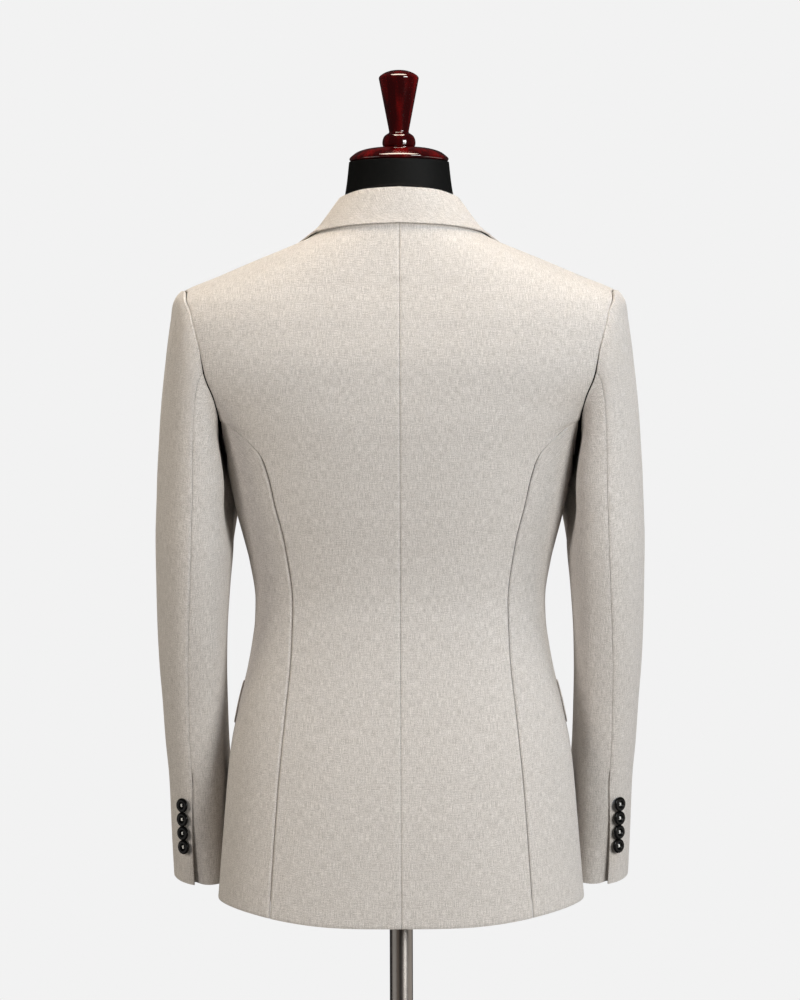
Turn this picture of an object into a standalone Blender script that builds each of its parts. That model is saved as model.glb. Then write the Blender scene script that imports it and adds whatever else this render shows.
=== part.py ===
"""A tailored evening jacket on a limbless dress form with a pole stand.

Metres, +Z up.  The jacket faces -Y, so its back faces +Y and the wearer's left is +X.
The origin is the middle of the stand's underside.

Every body panel is cut from one surface: a stack of oval rings, read from the BODY
table.  A place on it is a height and a turn, the angle from the centre back (0) round
the side (90 degrees) to the centre front (180 degrees).
"""
import math

import bmesh
import bpy
import numpy as np
from mathutils import Matrix

# ---------------------------------------------------------------- driving dimensions
WALL = 0.0016  # cloth thickness
SEAM = 0.0009  # gap between two panels at a seam
LAY = 0.0004  # gap under a piece that lies on another
LOOSE = 0.0010  # gap under a lapel or a flap, which lie less closely

HEM = 0.715  # centre back of the hem
HEM_SIDE_RISE = 0.018  # how much higher the hem is at the side seam
TIP = 1.384  # height of the shoulder tip
UNDERARM = 1.205  # lowest point of the armhole
SIDE_JOIN = 1.243  # where the side-back seam runs into the armhole
NECK_BACK = 1.467  # centre back of the neck seam
NECK_SIDE = 1.457  # neck seam at the shoulder seam
BUTTON_HEIGHT = 1.060  # the one front button

ARMHOLE_BACK = math.radians(21.3)  # how far the armhole reaches behind the side
ARMHOLE_FRONT = math.radians(24.0)  # and in front of it
ARMHOLE_HOLLOW_BACK = -0.165  # how much the lower half is more hollow than the upper
ARMHOLE_HOLLOW_FRONT = -0.05
ARMHOLE_DISTANCE = 0.2  # from the body's middle, to turn a margin into an angle
SIDE_FRONT_PHASE = math.radians(205.8)  # where the side-front seam meets the armhole
SIDE_FRONT_SLANT = math.radians(9)  # how much further forward that seam is at the hem
WRAP_ACROSS = 0.030, 0.055  # the left front stands off the right one up to here,
WRAP_HEIGHTS = 1.120, 1.175  # and up to here

SLEEVE_TOP = 1.170  # ring where the sleeve head ends and the tube begins
SLEEVE_SQUARENESS = 2.2
SLEEVE_REACH = 0.055  # from the sleeve's middle, to turn a gap into an angle
CUFF = 0.7525
CUFF_TILT = 0.12  # fall of the cuff towards the back
# Turns round the sleeve, from its outer side to its back: the top sleeve's grid lines,
# close together over the shoulder tip, from the front seam to the hind seam.
TOP_SLEEVE_TURNS = -104, -100, -74, -46, -20, 0, 20, 42, 62, 79, 86, 90
FRONT_ARM_SEAM = math.radians(TOP_SLEEVE_TURNS[0])
HIND_ARM_SEAM = math.radians(TOP_SLEEVE_TURNS[-1])
VENT_TOP = 0.868
VENT_UNDERLAP = 0.006
VENT_FADE = 0.025  # over this height the cuff vent closes into the hind seam

FLAP_TOP, FLAP_BOTTOM = 0.968, 0.922
FLAP_TURNS = math.radians(86), math.radians(133)

CUFF_BUTTON_RADIUS, CUFF_BUTTON_THICK = 0.0073, 0.0030
CUFF_BUTTON_HEIGHTS = 0.832, 0.8172, 0.8024, 0.7876
CUFF_BUTTON_TURN = math.radians(79)
FRONT_BUTTON_RADIUS, FRONT_BUTTON_THICK = 0.0100, 0.0040
FRONT_BUTTON_STAND = 0.0003  # the front bows a little under its flat back

FORM_BOTTOM = 0.800
FORM_TOP = 1.5225
FORM_HALF_WIDTH = 0.222  # its flat ends behind the armholes
FORM_FOOT_SHARE = 0.93  # the flat underside, against the ring just above it
POLE_RADIUS = 0.0124
BASE_RADIUS = 0.168
BASE_TOP = 0.034
CONTACT = 0.0003  # between hard pieces that touch

# Turned outlines as (radius, height above the piece's foot), from the top down.
NECK_CAP = (
    (0.0, 0.0152), (0.0190, 0.0150), (0.0320, 0.0130), (0.0430, 0.0100), (0.0500, 0.0062),
    (0.0532, 0.0030), (0.0522, 0.0006), (0.0502, 0.0), (0.0, 0.0),
)
BEAD_RADIUS, BEAD_HEIGHT, BEAD_FOOT = 0.0175, 0.0145, 0.0098
KNOB = (
    (0.0, 0.0667), (0.0095, 0.0659), (0.0170, 0.0633), (0.0210, 0.0597), (0.0218, 0.0581),
    (0.0214, 0.0562), (0.0102, 0.0010), (0.0104, 0.0),
)
BASE_PLATE = (
    (0.0, BASE_TOP), (0.0195, BASE_TOP), (0.0210, BASE_TOP - 0.0015), (0.0210, 0.0180),
    (0.0240, 0.0150), (0.0700, 0.0128),
)
BASE_RIM = 0.005


class Table:
    """Rows of numbers under named columns, read at any value of the first column."""

    def __init__(self, columns, *rows):
        self.names = columns.split()
        self.columns = dict(zip(self.names, np.array(rows, dtype=float).T))

    def at(self, column, key):
        """A column's value by a cubic that never overshoots its rows."""
        keys, values = self.columns[self.names[0]], self.columns[column]
        slopes = np.diff(values) / np.diff(keys)
        before, after = slopes[:-1], slopes[1:]
        same_sign = before * after > 0
        steepness = np.where(same_sign, before + after, 1.0)
        middle = np.where(same_sign, 2 * before * after / steepness, 0.0)
        tangents = np.concatenate(([slopes[0]], middle, [slopes[-1]]))
        key = np.clip(key, keys[0], keys[-1])
        row = np.clip(np.searchsorted(keys, key) - 1, 0, len(keys) - 2)
        step = keys[row + 1] - keys[row]
        part = (key - keys[row]) / step
        rise = values[row + 1] - values[row]
        start = step * tangents[row] - rise
        end = rise - step * tangents[row + 1]
        return values[row] + part * rise + part * (1 - part) * ((1 - part) * start + part * end)


# Rings of the body, up the slope of the shoulder to the neck.  Beside the armhole a ring
# runs on through the sleeve head, where nothing is cut from it.
BODY = Table(
    "height half_width back front centre squareness",
    (0.700, 0.1985, 0.1400, 0.1290, 0.018, 2.30),
    (0.734, 0.1955, 0.1385, 0.1280, 0.018, 2.30),
    (0.815, 0.1890, 0.1330, 0.1255, 0.016, 2.30),
    (0.880, 0.1830, 0.1255, 0.1225, 0.012, 2.30),
    (0.946, 0.1740, 0.1140, 0.1190, 0.008, 2.30),
    (0.988, 0.1630, 0.1050, 0.1175, 0.004, 2.30),
    (1.053, 0.1550, 0.0965, 0.1160, 0.000, 2.30),
    (1.096, 0.1610, 0.1000, 0.1185, 0.000, 2.30),
    (1.155, 0.1700, 0.1090, 0.1250, 0.000, 2.35),
    (1.200, 0.1810, 0.1150, 0.1300, 0.000, 2.40),
    (1.250, 0.2105, 0.1195, 0.1320, 0.000, 2.45),
    (1.295, 0.2500, 0.1190, 0.1285, 0.000, 2.45),
    (1.345, 0.2630, 0.1110, 0.1170, 0.000, 2.40),
    (1.368, 0.2540, 0.1050, 0.1080, 0.000, 2.35),
    (1.384, 0.2320, 0.1000, 0.1000, 0.000, 2.30),
    (1.400, 0.1950, 0.0955, 0.0925, 0.000, 2.30),
    (1.417, 0.1560, 0.0900, 0.0845, 0.000, 2.30),
    (1.434, 0.1150, 0.0838, 0.0765, 0.000, 2.30),
    (1.441, 0.0990, 0.0810, 0.0735, 0.000, 2.30),
    (1.450, 0.0852, 0.0770, 0.0700, 0.000, 2.30),
    (1.458, 0.0775, 0.0732, 0.0675, 0.000, 2.25),
    (1.468, 0.0705, 0.0693, 0.0655, 0.000, 2.20),
    (1.478, 0.0660, 0.0660, 0.0640, 0.000, 2.10),
    (1.4925, 0.0622, 0.0622, 0.0622, 0.000, 2.00),
    (1.530, 0.0578, 0.0578, 0.0578, 0.000, 2.00),
)
# Seam between the back and the side panel.
SIDE_BACK_SEAM = Table(
    "height across",
    (0.700, 0.1395),
    (0.759, 0.1360),
    (0.861, 0.1290),
    (0.942, 0.1210),
    (0.992, 0.1160),
    (1.050, 0.1140),
    (1.114, 0.1220),
    (1.154, 0.1320),
    (1.181, 0.1380),
    (1.206, 0.1460),
    (1.220, 0.1570),
    (1.233, 0.1710),
    (1.243, 0.1880),
)
# Free edge of a front panel: the cutaway, the buttoning edge, the roll line and the neck.
FRONT_EDGE = Table(
    "height across",
    (0.716, 0.0880),
    (0.7185, 0.0740),
    (0.724, 0.0600),
    (0.735, 0.0460),
    (0.755, 0.0320),
    (0.790, 0.0180),
    (0.840, 0.0060),
    (0.900, -0.0040),
    (0.960, -0.0120),
    (1.020, -0.0170),
    (1.060, -0.0180),
    (1.085, -0.0110),
    (1.110, 0.0040),
    (1.150, 0.0130),
    (1.200, 0.0220),
    (1.300, 0.0410),
    (1.380, 0.0575),
    (1.406, 0.0660),
    (1.430, 0.0775),
    (1.452, 0.0785),
)
# The lapel's fold and outer edge.
LAPEL = Table(
    "height fold edge",
    (1.112, 0.0055, 0.0160),
    (1.150, 0.0135, 0.0460),
    (1.200, 0.0225, 0.0730),
    (1.270, 0.0355, 0.1000),
    (1.330, 0.0475, 0.1200),
    (1.375, 0.0570, 0.1370),
    (1.399, 0.0635, 0.1480),
)
PEAK_STAND = 0.0032  # how much further the peak stands off the chest
LAPEL_PEAK_RISE = 0.021  # the peak's tip above the bottom of the notch
# The collar: its foot, its fold and its outer edge, round half of the neck.
COLLAR = Table(
    "turn fold_radius fold_height foot_height edge_turn edge_height",
    (0, 0.0668, 1.4905, 1.4690, 0, 1.4515),
    (30, 0.0665, 1.4890, 1.4680, 33, 1.4495),
    (60, 0.0652, 1.4845, 1.4645, 62, 1.4455),
    (90, 0.0648, 1.4800, 1.4610, 90, 1.4405),
    (112, 0.0735, 1.4660, 1.4560, 110, 1.4280),
    (128, 0.0925, 1.4445, 1.4440, 121, 1.4050),
    (144, 0.1115, 1.4070, 1.4110, 131, 1.3815),
)
COLLAR_FOLD_ROUND = 0.0018  # half the width of the folded edge
# The fall: parts of the way from foot to edge, with the gap under it there.
COLLAR_FALL = (0.30, 0.0042), (0.62, 0.0031), (1.0, 0.0018)
# The sleeve tube below its head.
SLEEVE = Table(
    "height outer half_width half_depth forward turn",
    (0.7525, 0.2466, 0.0325, 0.0550, -0.067, 8.0),
    (0.8000, 0.2485, 0.0330, 0.0560, -0.057, 8.0),
    (0.8600, 0.2503, 0.0342, 0.0580, -0.043, 7.0),
    (0.9030, 0.2538, 0.0350, 0.0600, -0.033, 6.0),
    (0.9460, 0.2563, 0.0355, 0.0625, -0.023, 4.0),
    (0.9880, 0.2592, 0.0365, 0.0655, -0.013, 2.0),
    (1.0310, 0.2608, 0.0378, 0.0690, -0.005, 0.5),
    (1.0740, 0.2615, 0.0398, 0.0730, 0.0005, 0.0),
    (1.1170, 0.2620, 0.0420, 0.0765, 0.003, 0.0),
    (1.1700, 0.2605, 0.0424, 0.0785, 0.003, 0.0),
)
# How far the form lies inside the cloth's outer face.
FORM_INSET = Table(
    "height inset",
    (0.790, 0.0240),
    (0.950, 0.0150),
    (1.050, 0.0090),
    (1.200, 0.0080),
    (1.300, 0.0070),
    (1.350, 0.0080),
    (1.395, 0.0070),
    (1.415, 0.0045),
    (1.452, 0.0036),
    (1.468, 0.0040),
    (1.480, 0.0050),
    (1.530, 0.0050),
)
# Rows of the panels: heights where a grid line runs round the body.
BACK_ROWS = (
    HEM, 0.760, 0.815, 0.870, 0.920, 0.965, 1.010, 1.055, 1.100, 1.145, 1.180, 1.206,
    1.222, 1.234, SIDE_JOIN, 1.270, 1.305, 1.338, 1.360, 1.374, 1.3815, TIP, 1.394,
    1.410, 1.426, 1.442, NECK_SIDE,
)
SIDE_ROWS = tuple(height for height in BACK_ROWS if height <= SIDE_JOIN)
FRONT_ROWS = (
    0.716, 0.720, 0.735, 0.755, 0.790, 0.840, 0.890, 0.930, 0.970, 1.010, 1.050, 1.090,
    1.125, 1.170, 1.214, 1.245, 1.285, 1.325, 1.355, 1.372, 1.3815, TIP, 1.394, 1.410,
    1.428, 1.448,
)
LAPEL_ROWS = 12
SLEEVE_HEAD_ROWS, SLEEVE_TUBE_ROWS = 7, 11
FORM_ROWS = (
    FORM_BOTTOM, 0.812, 0.840, 0.880, 0.930, 0.990, 1.050, 1.110, 1.170, 1.220, 1.260,
    1.300, 1.340, 1.370, TIP, 1.3900, 1.3980, 1.410, 1.424, 1.436, 1.446, 1.457, 1.468,
    1.479, 1.4925, FORM_TOP,
)
FORM_SEGMENTS = 40


# ---------------------------------------------------------------- the body's surface
def blend(start, end, part):
    """The point a part of the way from start to end."""
    return start + (end - start) * part


def ease(start, end, value):
    """0 before start, 1 after end, and a smooth step between them."""
    part = np.clip((value - start) / (end - start), 0.0, 1.0)
    return part * part * (3 - 2 * part)


def oval(turn, half_width, ahead, behind, squareness):
    """Distance from an oval's centre to its rim, at a turn from the direction ahead."""
    depth = np.where(np.cos(turn) > 0, ahead, behind)
    side = np.abs(np.sin(turn) / half_width) ** squareness
    along = np.abs(np.cos(turn) / depth) ** squareness
    return (side + along) ** (-1 / squareness)


def body_ring(height):
    """The ring's half width, back, front, centre and squareness at a height."""
    return [BODY.at(name, height) for name in BODY.names[1:]]


def body_point(height, turn):
    """The point of the cloth's outer face at a height and a turn."""
    half_width, back, front, centre, squareness = body_ring(height)
    radius = oval(turn, half_width, back - centre, front + centre, squareness)
    return np.stack([radius * np.sin(turn), centre + radius * np.cos(turn),
                     height + 0 * radius], axis=-1)


def body_surface(height, turn, lift=0.0):
    """A point lifted off the cloth's outer face along its normal."""
    step = 1e-4
    up = body_point(height + step, turn) - body_point(height - step, turn)
    round_it = body_point(height, turn + step) - body_point(height, turn - step)
    normal = np.cross(up, round_it)
    normal /= np.linalg.norm(normal, axis=-1, keepdims=True)
    return body_point(height, turn) + normal * np.asarray(lift)[..., None]


def turn_at(height, across, front):
    """The turn where a ring is a distance across from the middle plane."""
    half_width, back, forward, centre, squareness = body_ring(height)
    depth = (forward + centre) if front else (back - centre)
    share = np.clip(np.abs(across) / half_width, 0.0, 1.0)
    along = depth * (1 - share ** squareness) ** (1 / squareness)
    return np.arctan2(across, -along if front else along) % (2 * math.pi)


def armhole(phase, margin=0.0):
    """Height and turn of the armhole's edge: phase 0 at the shoulder tip, 90 at the back."""
    middle = (TIP + UNDERARM) / 2
    height = middle + ((TIP - UNDERARM) / 2 + margin) * np.cos(phase)
    behind = np.sin(phase) > 0
    reach = np.where(behind, ARMHOLE_BACK, ARMHOLE_FRONT) + margin / ARMHOLE_DISTANCE
    hollow = np.where(behind, ARMHOLE_HOLLOW_BACK, ARMHOLE_HOLLOW_FRONT)
    turn = math.pi / 2 - reach * np.sin(phase) * (1 - hollow * np.cos(phase))
    return height, turn


def armhole_phase(height, margin=0.0):
    """The phase, on the back half, where the armhole's edge is at a height."""
    middle = (TIP + UNDERARM) / 2
    share = (height - middle) / ((TIP - UNDERARM) / 2 + margin)
    return np.arccos(np.clip(share, -1.0, 1.0))


def side_back_turn(height):
    """The side-back seam's turn at a height."""
    return turn_at(height, SIDE_BACK_SEAM.at("across", height), front=False)


def side_front_turn(height):
    """The side-front seam's turn: nearly straight down from the front of the armhole."""
    top_height, top_turn = armhole(SIDE_FRONT_PHASE, SEAM)
    return top_turn + SIDE_FRONT_SLANT * (1 - ease(0.95, top_height, height))


def hem_shift(height, turn):
    """How far a point near the hem moves up, so that the hem rises to the side seams."""
    side = np.sin(turn) ** 2
    return HEM_SIDE_RISE * side * (1 - ease(HEM, HEM + 0.10, height))


def neck_shift(height, turn):
    """How far a point near the neck seam moves up towards the centre back."""
    back = np.clip(np.cos(turn), 0.0, 1.0)
    return (NECK_BACK - NECK_SIDE) * back * ease(NECK_SIDE - 0.03, NECK_SIDE, height)


def at_row(part, rows):
    """The row height at a part of the way up a grid."""
    return np.interp(part, np.linspace(0, 1, len(rows)), rows)


# ---------------------------------------------------------------- making objects
def clear_scene():
    """Removes what the file starts with."""
    for thing in list(bpy.data.objects):
        bpy.data.objects.remove(thing, do_unlink=True)


def make_material(name, colour, roughness, metallic=0.0):
    """A Principled material of one colour."""
    material = bpy.data.materials.new(name)
    material.use_nodes = True
    shader = material.node_tree.nodes["Principled BSDF"]
    shader.inputs["Base Color"].default_value = (*colour, 1.0)
    shader.inputs["Roughness"].default_value = roughness
    shader.inputs["Metallic"].default_value = metallic
    return material


def add_object(name, mesh, material):
    """Puts a mesh into the jacket's collection, smooth and in its material."""
    thing = bpy.data.objects.new(name, mesh)
    mesh.materials.append(material)
    mesh.shade_smooth()
    COLLECTION.objects.link(thing)
    return thing


def sheet(name, columns, rows, place, material, flip=False, wall=WALL, offset=-1.0):
    """A cloth wall: a grid whose points place(u, v) sets, thickened by Solidify."""
    bm = bmesh.new()
    bmesh.ops.create_grid(bm, x_segments=columns, y_segments=rows, size=0.5)
    spots = np.array([vert.co[:2] for vert in bm.verts]) + 0.5
    for vert, point in zip(bm.verts, place(spots[:, 0], spots[:, 1])):
        vert.co = point
    if flip:
        bmesh.ops.reverse_faces(bm, faces=bm.faces)
    mesh = bpy.data.meshes.new(name)
    bm.to_mesh(mesh)
    bm.free()
    thing = add_object(name, mesh, material)
    solidify = thing.modifiers.new("Wall", "SOLIDIFY")
    solidify.thickness = wall
    solidify.offset = offset
    return thing


def turned(name, profile, material, steps=32):
    """A solid of revolution: (radius, height) rows from the top axis down to the bottom."""
    mesh = bpy.data.meshes.new(name)
    points = [(radius, 0.0, height) for radius, height in profile]
    mesh.from_pydata(points, [(i, i + 1) for i in range(len(points) - 1)], [])
    thing = add_object(name, mesh, material)
    screw = thing.modifiers.new("Turn", "SCREW")
    screw.steps = steps
    screw.render_steps = steps
    screw.use_merge_vertices = True
    screw.merge_threshold = 0.00001
    return thing


def arc(centre, radius, start, end, points):
    """(radius, height) rows along an arc; angles in degrees from straight out."""
    angles = [math.radians(blend(start, end, i / (points - 1))) for i in range(points)]
    return [(centre[0] + radius * math.cos(a), centre[1] + radius * math.sin(a))
            for a in angles]


def raised(profile, foot):
    """An outline's rows, moved up to its foot's height."""
    return [(radius, foot + height) for radius, height in profile]


def mirrored(points, side):
    """Points of the wearer's left, or their mirror image for the right."""
    return points * np.array([side, 1.0, 1.0])


def narrow_edges(u, columns):
    """Grid columns whose first and last are narrow, so that walls meet squarely at a seam."""
    inner = np.linspace(0.25 / columns, 1 - 0.25 / columns, columns - 1)
    return np.interp(u, np.linspace(0, 1, columns + 1), [0.0, *inner, 1.0])


def seam_turn(height, turn, sign):
    """A turn moved off a seam by half the seam's gap."""
    reach = np.linalg.norm(body_point(height, turn)[..., :2], axis=-1)
    return turn + sign * SEAM / 2 / reach


# ---------------------------------------------------------------- body panels
def back_edge_turn(height):
    """Outer edge of the back: side-back seam, then armhole, then shoulder seam."""
    seam = side_back_turn(np.minimum(height, SIDE_JOIN))
    edge = armhole(armhole_phase(height, SEAM), SEAM)[1]
    turn = np.where(height <= SIDE_JOIN, np.minimum(seam, edge), edge)
    return np.where(height >= TIP, math.pi / 2, turn)


def make_back(side, suffix, cloth):
    """One half of the back, from the centre seam to the side, armhole and shoulder."""
    columns = 8

    def place(u, v):
        height = at_row(v, BACK_ROWS)
        inner = seam_turn(height, 0 * height, 1)
        outer = seam_turn(height, back_edge_turn(height), -1)
        turn = blend(inner, outer, narrow_edges(u, columns))
        height = height + hem_shift(height, turn) + neck_shift(height, turn)
        return mirrored(body_surface(height, turn), side)

    sheet("back_" + suffix, columns, len(BACK_ROWS) - 1, place, cloth, flip=side > 0)


def make_side(side, suffix, cloth):
    """The side panel, whose top edge is the bottom of the armhole."""
    columns = 6

    def place(u, v):
        u = narrow_edges(u, columns)
        start = armhole_phase(SIDE_JOIN, SEAM)
        top_height, top_turn = armhole(blend(start, SIDE_FRONT_PHASE, u), SEAM)
        share = (at_row(v, SIDE_ROWS) - HEM) / (SIDE_JOIN - HEM)
        height = blend(HEM, top_height, share)
        front_top = armhole(SIDE_FRONT_PHASE, SEAM)[0]
        back_height = blend(HEM, SIDE_JOIN, share)
        front_height = blend(HEM, front_top, share)
        inner = seam_turn(back_height, side_back_turn(back_height), 1)
        outer = seam_turn(front_height, side_front_turn(front_height), -1)
        straight = blend(side_back_turn(SIDE_JOIN), side_front_turn(front_top), u)
        turn = blend(inner, outer, u) + (top_turn - straight) * share ** 6
        height = height + hem_shift(height, turn)
        return mirrored(body_surface(height, turn), side)

    sheet("side_" + suffix, columns, len(SIDE_ROWS) - 1, place, cloth, flip=side > 0)


def wrap_lift(side, height, across):
    """How far the left front stands off where it laps over the right front."""
    if side < 0:
        return 0 * height
    near = 1 - ease(*WRAP_ACROSS, across)
    return (WALL + LAY) * near * (1 - ease(*WRAP_HEIGHTS, height))


def front_turn(height, across):
    """The front's turn at a height and a distance across."""
    return turn_at(height, across, front=True)


def front_surface(side, height, turn, lift=0.0):
    """A point on or above one front, with the lap of the left over the right."""
    across = body_point(height, turn)[..., 0]
    total = wrap_lift(side, height, across) + lift
    return mirrored(body_surface(height, turn, total), side)


def make_front(side, suffix, cloth):
    """A front panel: side seam, armhole and shoulder outside, free edge inside."""
    columns = 8

    def place(u, v):
        height = at_row(v, FRONT_ROWS)
        join_height = armhole(SIDE_FRONT_PHASE, SEAM)[0]
        seam = side_front_turn(height)
        edge = armhole(2 * math.pi - armhole_phase(height, SEAM), SEAM)[1]
        outer = np.where(height <= join_height, seam, edge)
        outer = seam_turn(height, np.where(height >= TIP, math.pi / 2, outer), 1)
        inner = front_turn(height, FRONT_EDGE.at("across", height))
        turn = blend(outer, inner, narrow_edges(u, columns))
        height = height + hem_shift(height, turn)
        return front_surface(side, height, turn)

    sheet("front_" + suffix, columns, len(FRONT_ROWS) - 1, place, cloth, flip=side > 0)


def make_lapel(side, suffix, cloth):
    """A peaked lapel that lies on the front, from the roll line outwards."""
    def place(u, v):
        bottom, top = LAPEL.columns["height"][[0, -1]]
        height = blend(bottom, top, v)
        across = blend(LAPEL.at("fold", height), LAPEL.at("edge", height), u)
        notch = np.where(u < 0.55, u / 0.55, (1 - u) / 0.45)
        lowered = height - LAPEL_PEAK_RISE * notch * v ** 8
        turn = front_turn(lowered, across)
        return front_surface(side, lowered, turn, WALL + LOOSE + PEAK_STAND * u * v ** 4)

    sheet("lapel_" + suffix, 6, LAPEL_ROWS, place, cloth, flip=side < 0)


def make_flap(side, suffix, cloth):
    """A pocket flap with rounded lower corners, over the side-front seam."""
    def place(u, v):
        turn = blend(*FLAP_TURNS, u)
        corner = np.abs(2 * u - 1) ** 8
        bottom = FLAP_BOTTOM + 0.010 * corner
        height = blend(bottom, FLAP_TOP, v) - 0.006 * u
        return mirrored(body_surface(height, turn, WALL + LOOSE), side)

    sheet("pocket_flap_" + suffix, 10, 2, place, cloth, flip=side > 0)


# ---------------------------------------------------------------- collar
def collar_section(turn_degrees):
    """Rows of points across the collar, from its foot over the fold to its edge."""
    def read(column):
        return COLLAR.at(column, np.abs(turn_degrees))

    def spot(radius, height):
        angle = np.radians(turn_degrees)
        return np.stack([radius * np.sin(angle), radius * np.cos(angle), height], axis=-1)

    radius, top = read("fold_radius"), read("fold_height")
    foot = body_surface(read("foot_height"), np.radians(turn_degrees), -WALL / 2)
    inner = spot(radius - COLLAR_FOLD_ROUND, top - 0.0026)
    crest = spot(radius, top)
    outer = spot(radius + COLLAR_FOLD_ROUND, top - 0.0026)
    falls = []
    for share, lift in COLLAR_FALL:
        height = blend(read("foot_height"), read("edge_height"), share)
        turn = np.radians(blend(np.abs(turn_degrees), read("edge_turn"), share))
        point = body_surface(height, turn, WALL / 2 + lift)
        point[:, 0] *= np.where(turn_degrees < 0, -1, 1)
        falls.append(point)
    return np.stack([foot, blend(foot, inner, 0.5), inner, crest, outer, *falls], axis=1)


def make_collar(cloth):
    """The collar: a stand and a fall in one folded strip, from gorge to gorge."""
    stations, across = 30, 7

    def place(u, v):
        turns = blend(-144.0, 144.0, u)
        points = collar_section(turns)
        return points[np.arange(len(u)), np.rint(v * across).astype(int)]

    sheet("collar", stations, across, place, cloth, flip=True, offset=0.0)


# ---------------------------------------------------------------- sleeves
def sleeve_ring(height, turn):
    """A point of the sleeve tube: turn 0 on its outer side, 90 degrees at its back."""
    def read(column):
        return SLEEVE.at(column, height)

    width, depth, twist = read("half_width"), read("half_depth"), np.radians(read("turn"))
    reach = np.hypot(width * np.cos(twist), depth * np.sin(twist))
    radius = oval(turn - math.pi / 2, width, depth, depth, SLEEVE_SQUARENESS)
    outward, backward = radius * np.cos(turn), radius * np.sin(turn)
    x = read("outer") - reach + outward * np.cos(twist) + backward * np.sin(twist)
    shift = backward * np.cos(twist) - outward * np.sin(twist)
    tilt = CUFF_TILT * (1 - ease(CUFF, 1.0, height))
    return np.stack([x, read("forward") + shift, height - tilt * shift], axis=-1)


def sleeve_head(rise, turn):
    """A point between the tube's top ring (rise 0) and the armhole's edge (rise 1)."""
    seat = body_point(*armhole(turn, -SEAM / 2))
    ring = sleeve_ring(SLEEVE_TOP + 0 * turn, turn)
    upper = (1 + np.cos(turn)) / 2
    leave = np.stack([0.30 + 0.70 * upper, 0.25 * np.sin(turn), -0.15 - 0.85 * (1 - upper)], -1)
    leave /= np.linalg.norm(leave, axis=-1, keepdims=True)
    reach = 0.007 + 0.016 * upper
    drop = seat[..., 2] - ring[..., 2]
    first = seat + leave * reach[..., None]
    last = ring + np.stack([0 * drop, 0 * drop, 0.5 * drop], axis=-1)
    part = (1 - rise)[..., None]
    return ((1 - part) ** 3 * seat + 3 * (1 - part) ** 2 * part * first
            + 3 * (1 - part) * part ** 2 * last + part ** 3 * ring)


def sleeve_surface(rise, turn):
    """A point of the sleeve: rise -1 at the cuff, 0 at the tube's top, 1 at the armhole."""
    tube = sleeve_ring(blend(SLEEVE_TOP, CUFF, np.clip(-rise, 0, 1)), turn)
    head = sleeve_head(np.clip(rise, 0, 1), turn)
    return np.where((rise > 0)[..., None], head, tube)


def sleeve_rise(v):
    """Rows spread evenly over the tube and, closer together, over the head."""
    share = SLEEVE_TUBE_ROWS / (SLEEVE_TUBE_ROWS + SLEEVE_HEAD_ROWS)
    return np.where(v < share, v / share - 1, (v - share) / (1 - share))


def tube_rise(height):
    """The rise of the tube's ring at a height."""
    return (height - SLEEVE_TOP) / (SLEEVE_TOP - CUFF)


def sleeve_inward(rise, turn, depth):
    """A sleeve point moved towards the inside of the sleeve."""
    step = 1e-4
    up = sleeve_surface(rise + step, turn) - sleeve_surface(rise - step, turn)
    round_it = sleeve_surface(rise, turn + step) - sleeve_surface(rise, turn - step)
    normal = np.cross(up, round_it)
    normal /= np.linalg.norm(normal, axis=-1, keepdims=True)
    return sleeve_surface(rise, turn) + normal * np.asarray(depth)[..., None]


def make_sleeve(side, suffix, cloth):
    """A two-piece sleeve: the under sleeve tucks below the top sleeve at the vent."""
    rows = SLEEVE_TUBE_ROWS + SLEEVE_HEAD_ROWS
    half_gap = SEAM / 2 / SLEEVE_REACH
    underlap = VENT_UNDERLAP / SLEEVE_REACH
    top_columns, under_columns = len(TOP_SLEEVE_TURNS) - 1, 9

    def place_top(u, v):
        turn = np.radians(at_row(u, TOP_SLEEVE_TURNS))
        turn = np.clip(turn, FRONT_ARM_SEAM + half_gap, HIND_ARM_SEAM - half_gap)
        return mirrored(sleeve_surface(sleeve_rise(v), turn), side)

    def place_under(u, v):
        rise = sleeve_rise(v)
        closed = tube_rise(VENT_TOP + VENT_FADE)
        vent = 1 - ease(tube_rise(VENT_TOP), closed, rise)
        start = HIND_ARM_SEAM + half_gap - vent * (underlap + half_gap)
        around = narrow_edges(u, under_columns)
        turn = blend(start, FRONT_ARM_SEAM + 2 * math.pi - half_gap, around)
        near = 1 - ease(HIND_ARM_SEAM + half_gap, HIND_ARM_SEAM + 3 * underlap, turn)
        tuck = 1 - ease(closed, tube_rise(VENT_TOP + 3 * VENT_FADE), rise)
        return mirrored(sleeve_inward(rise, turn, (WALL + LOOSE) * tuck * near), side)

    sheet("top_sleeve_" + suffix, top_columns, rows, place_top, cloth, flip=side < 0)
    sheet("under_sleeve_" + suffix, under_columns, rows, place_under, cloth, flip=side < 0)


# ---------------------------------------------------------------- buttons
def button_profile(radius, thick):
    """A flat button with a rounded rim and a sunk middle, standing on z = 0."""
    rim = thick / 2
    rows = [(0.0, thick * 0.66), (radius * 0.42, thick * 0.62), (radius * 0.60, thick)]
    rows += arc((radius - rim, rim), rim, 70, -70, 4)
    return rows + [(0.0, 0.0)]


def make_button(name, radius, thick, material, point, normal):
    """A button with its back on a point and its face along a normal."""
    thing = turned(name, button_profile(radius, thick), material, steps=16)
    east = np.cross((0.0, 0.0, 1.0), normal)
    east /= np.linalg.norm(east)
    north = np.cross(normal, east)
    turn = np.column_stack([east, north, normal])
    matrix = np.eye(4)
    matrix[:3, :3] = turn
    matrix[:3, 3] = point + normal * CONTACT
    thing.matrix_world = Matrix(matrix.tolist())


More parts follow.
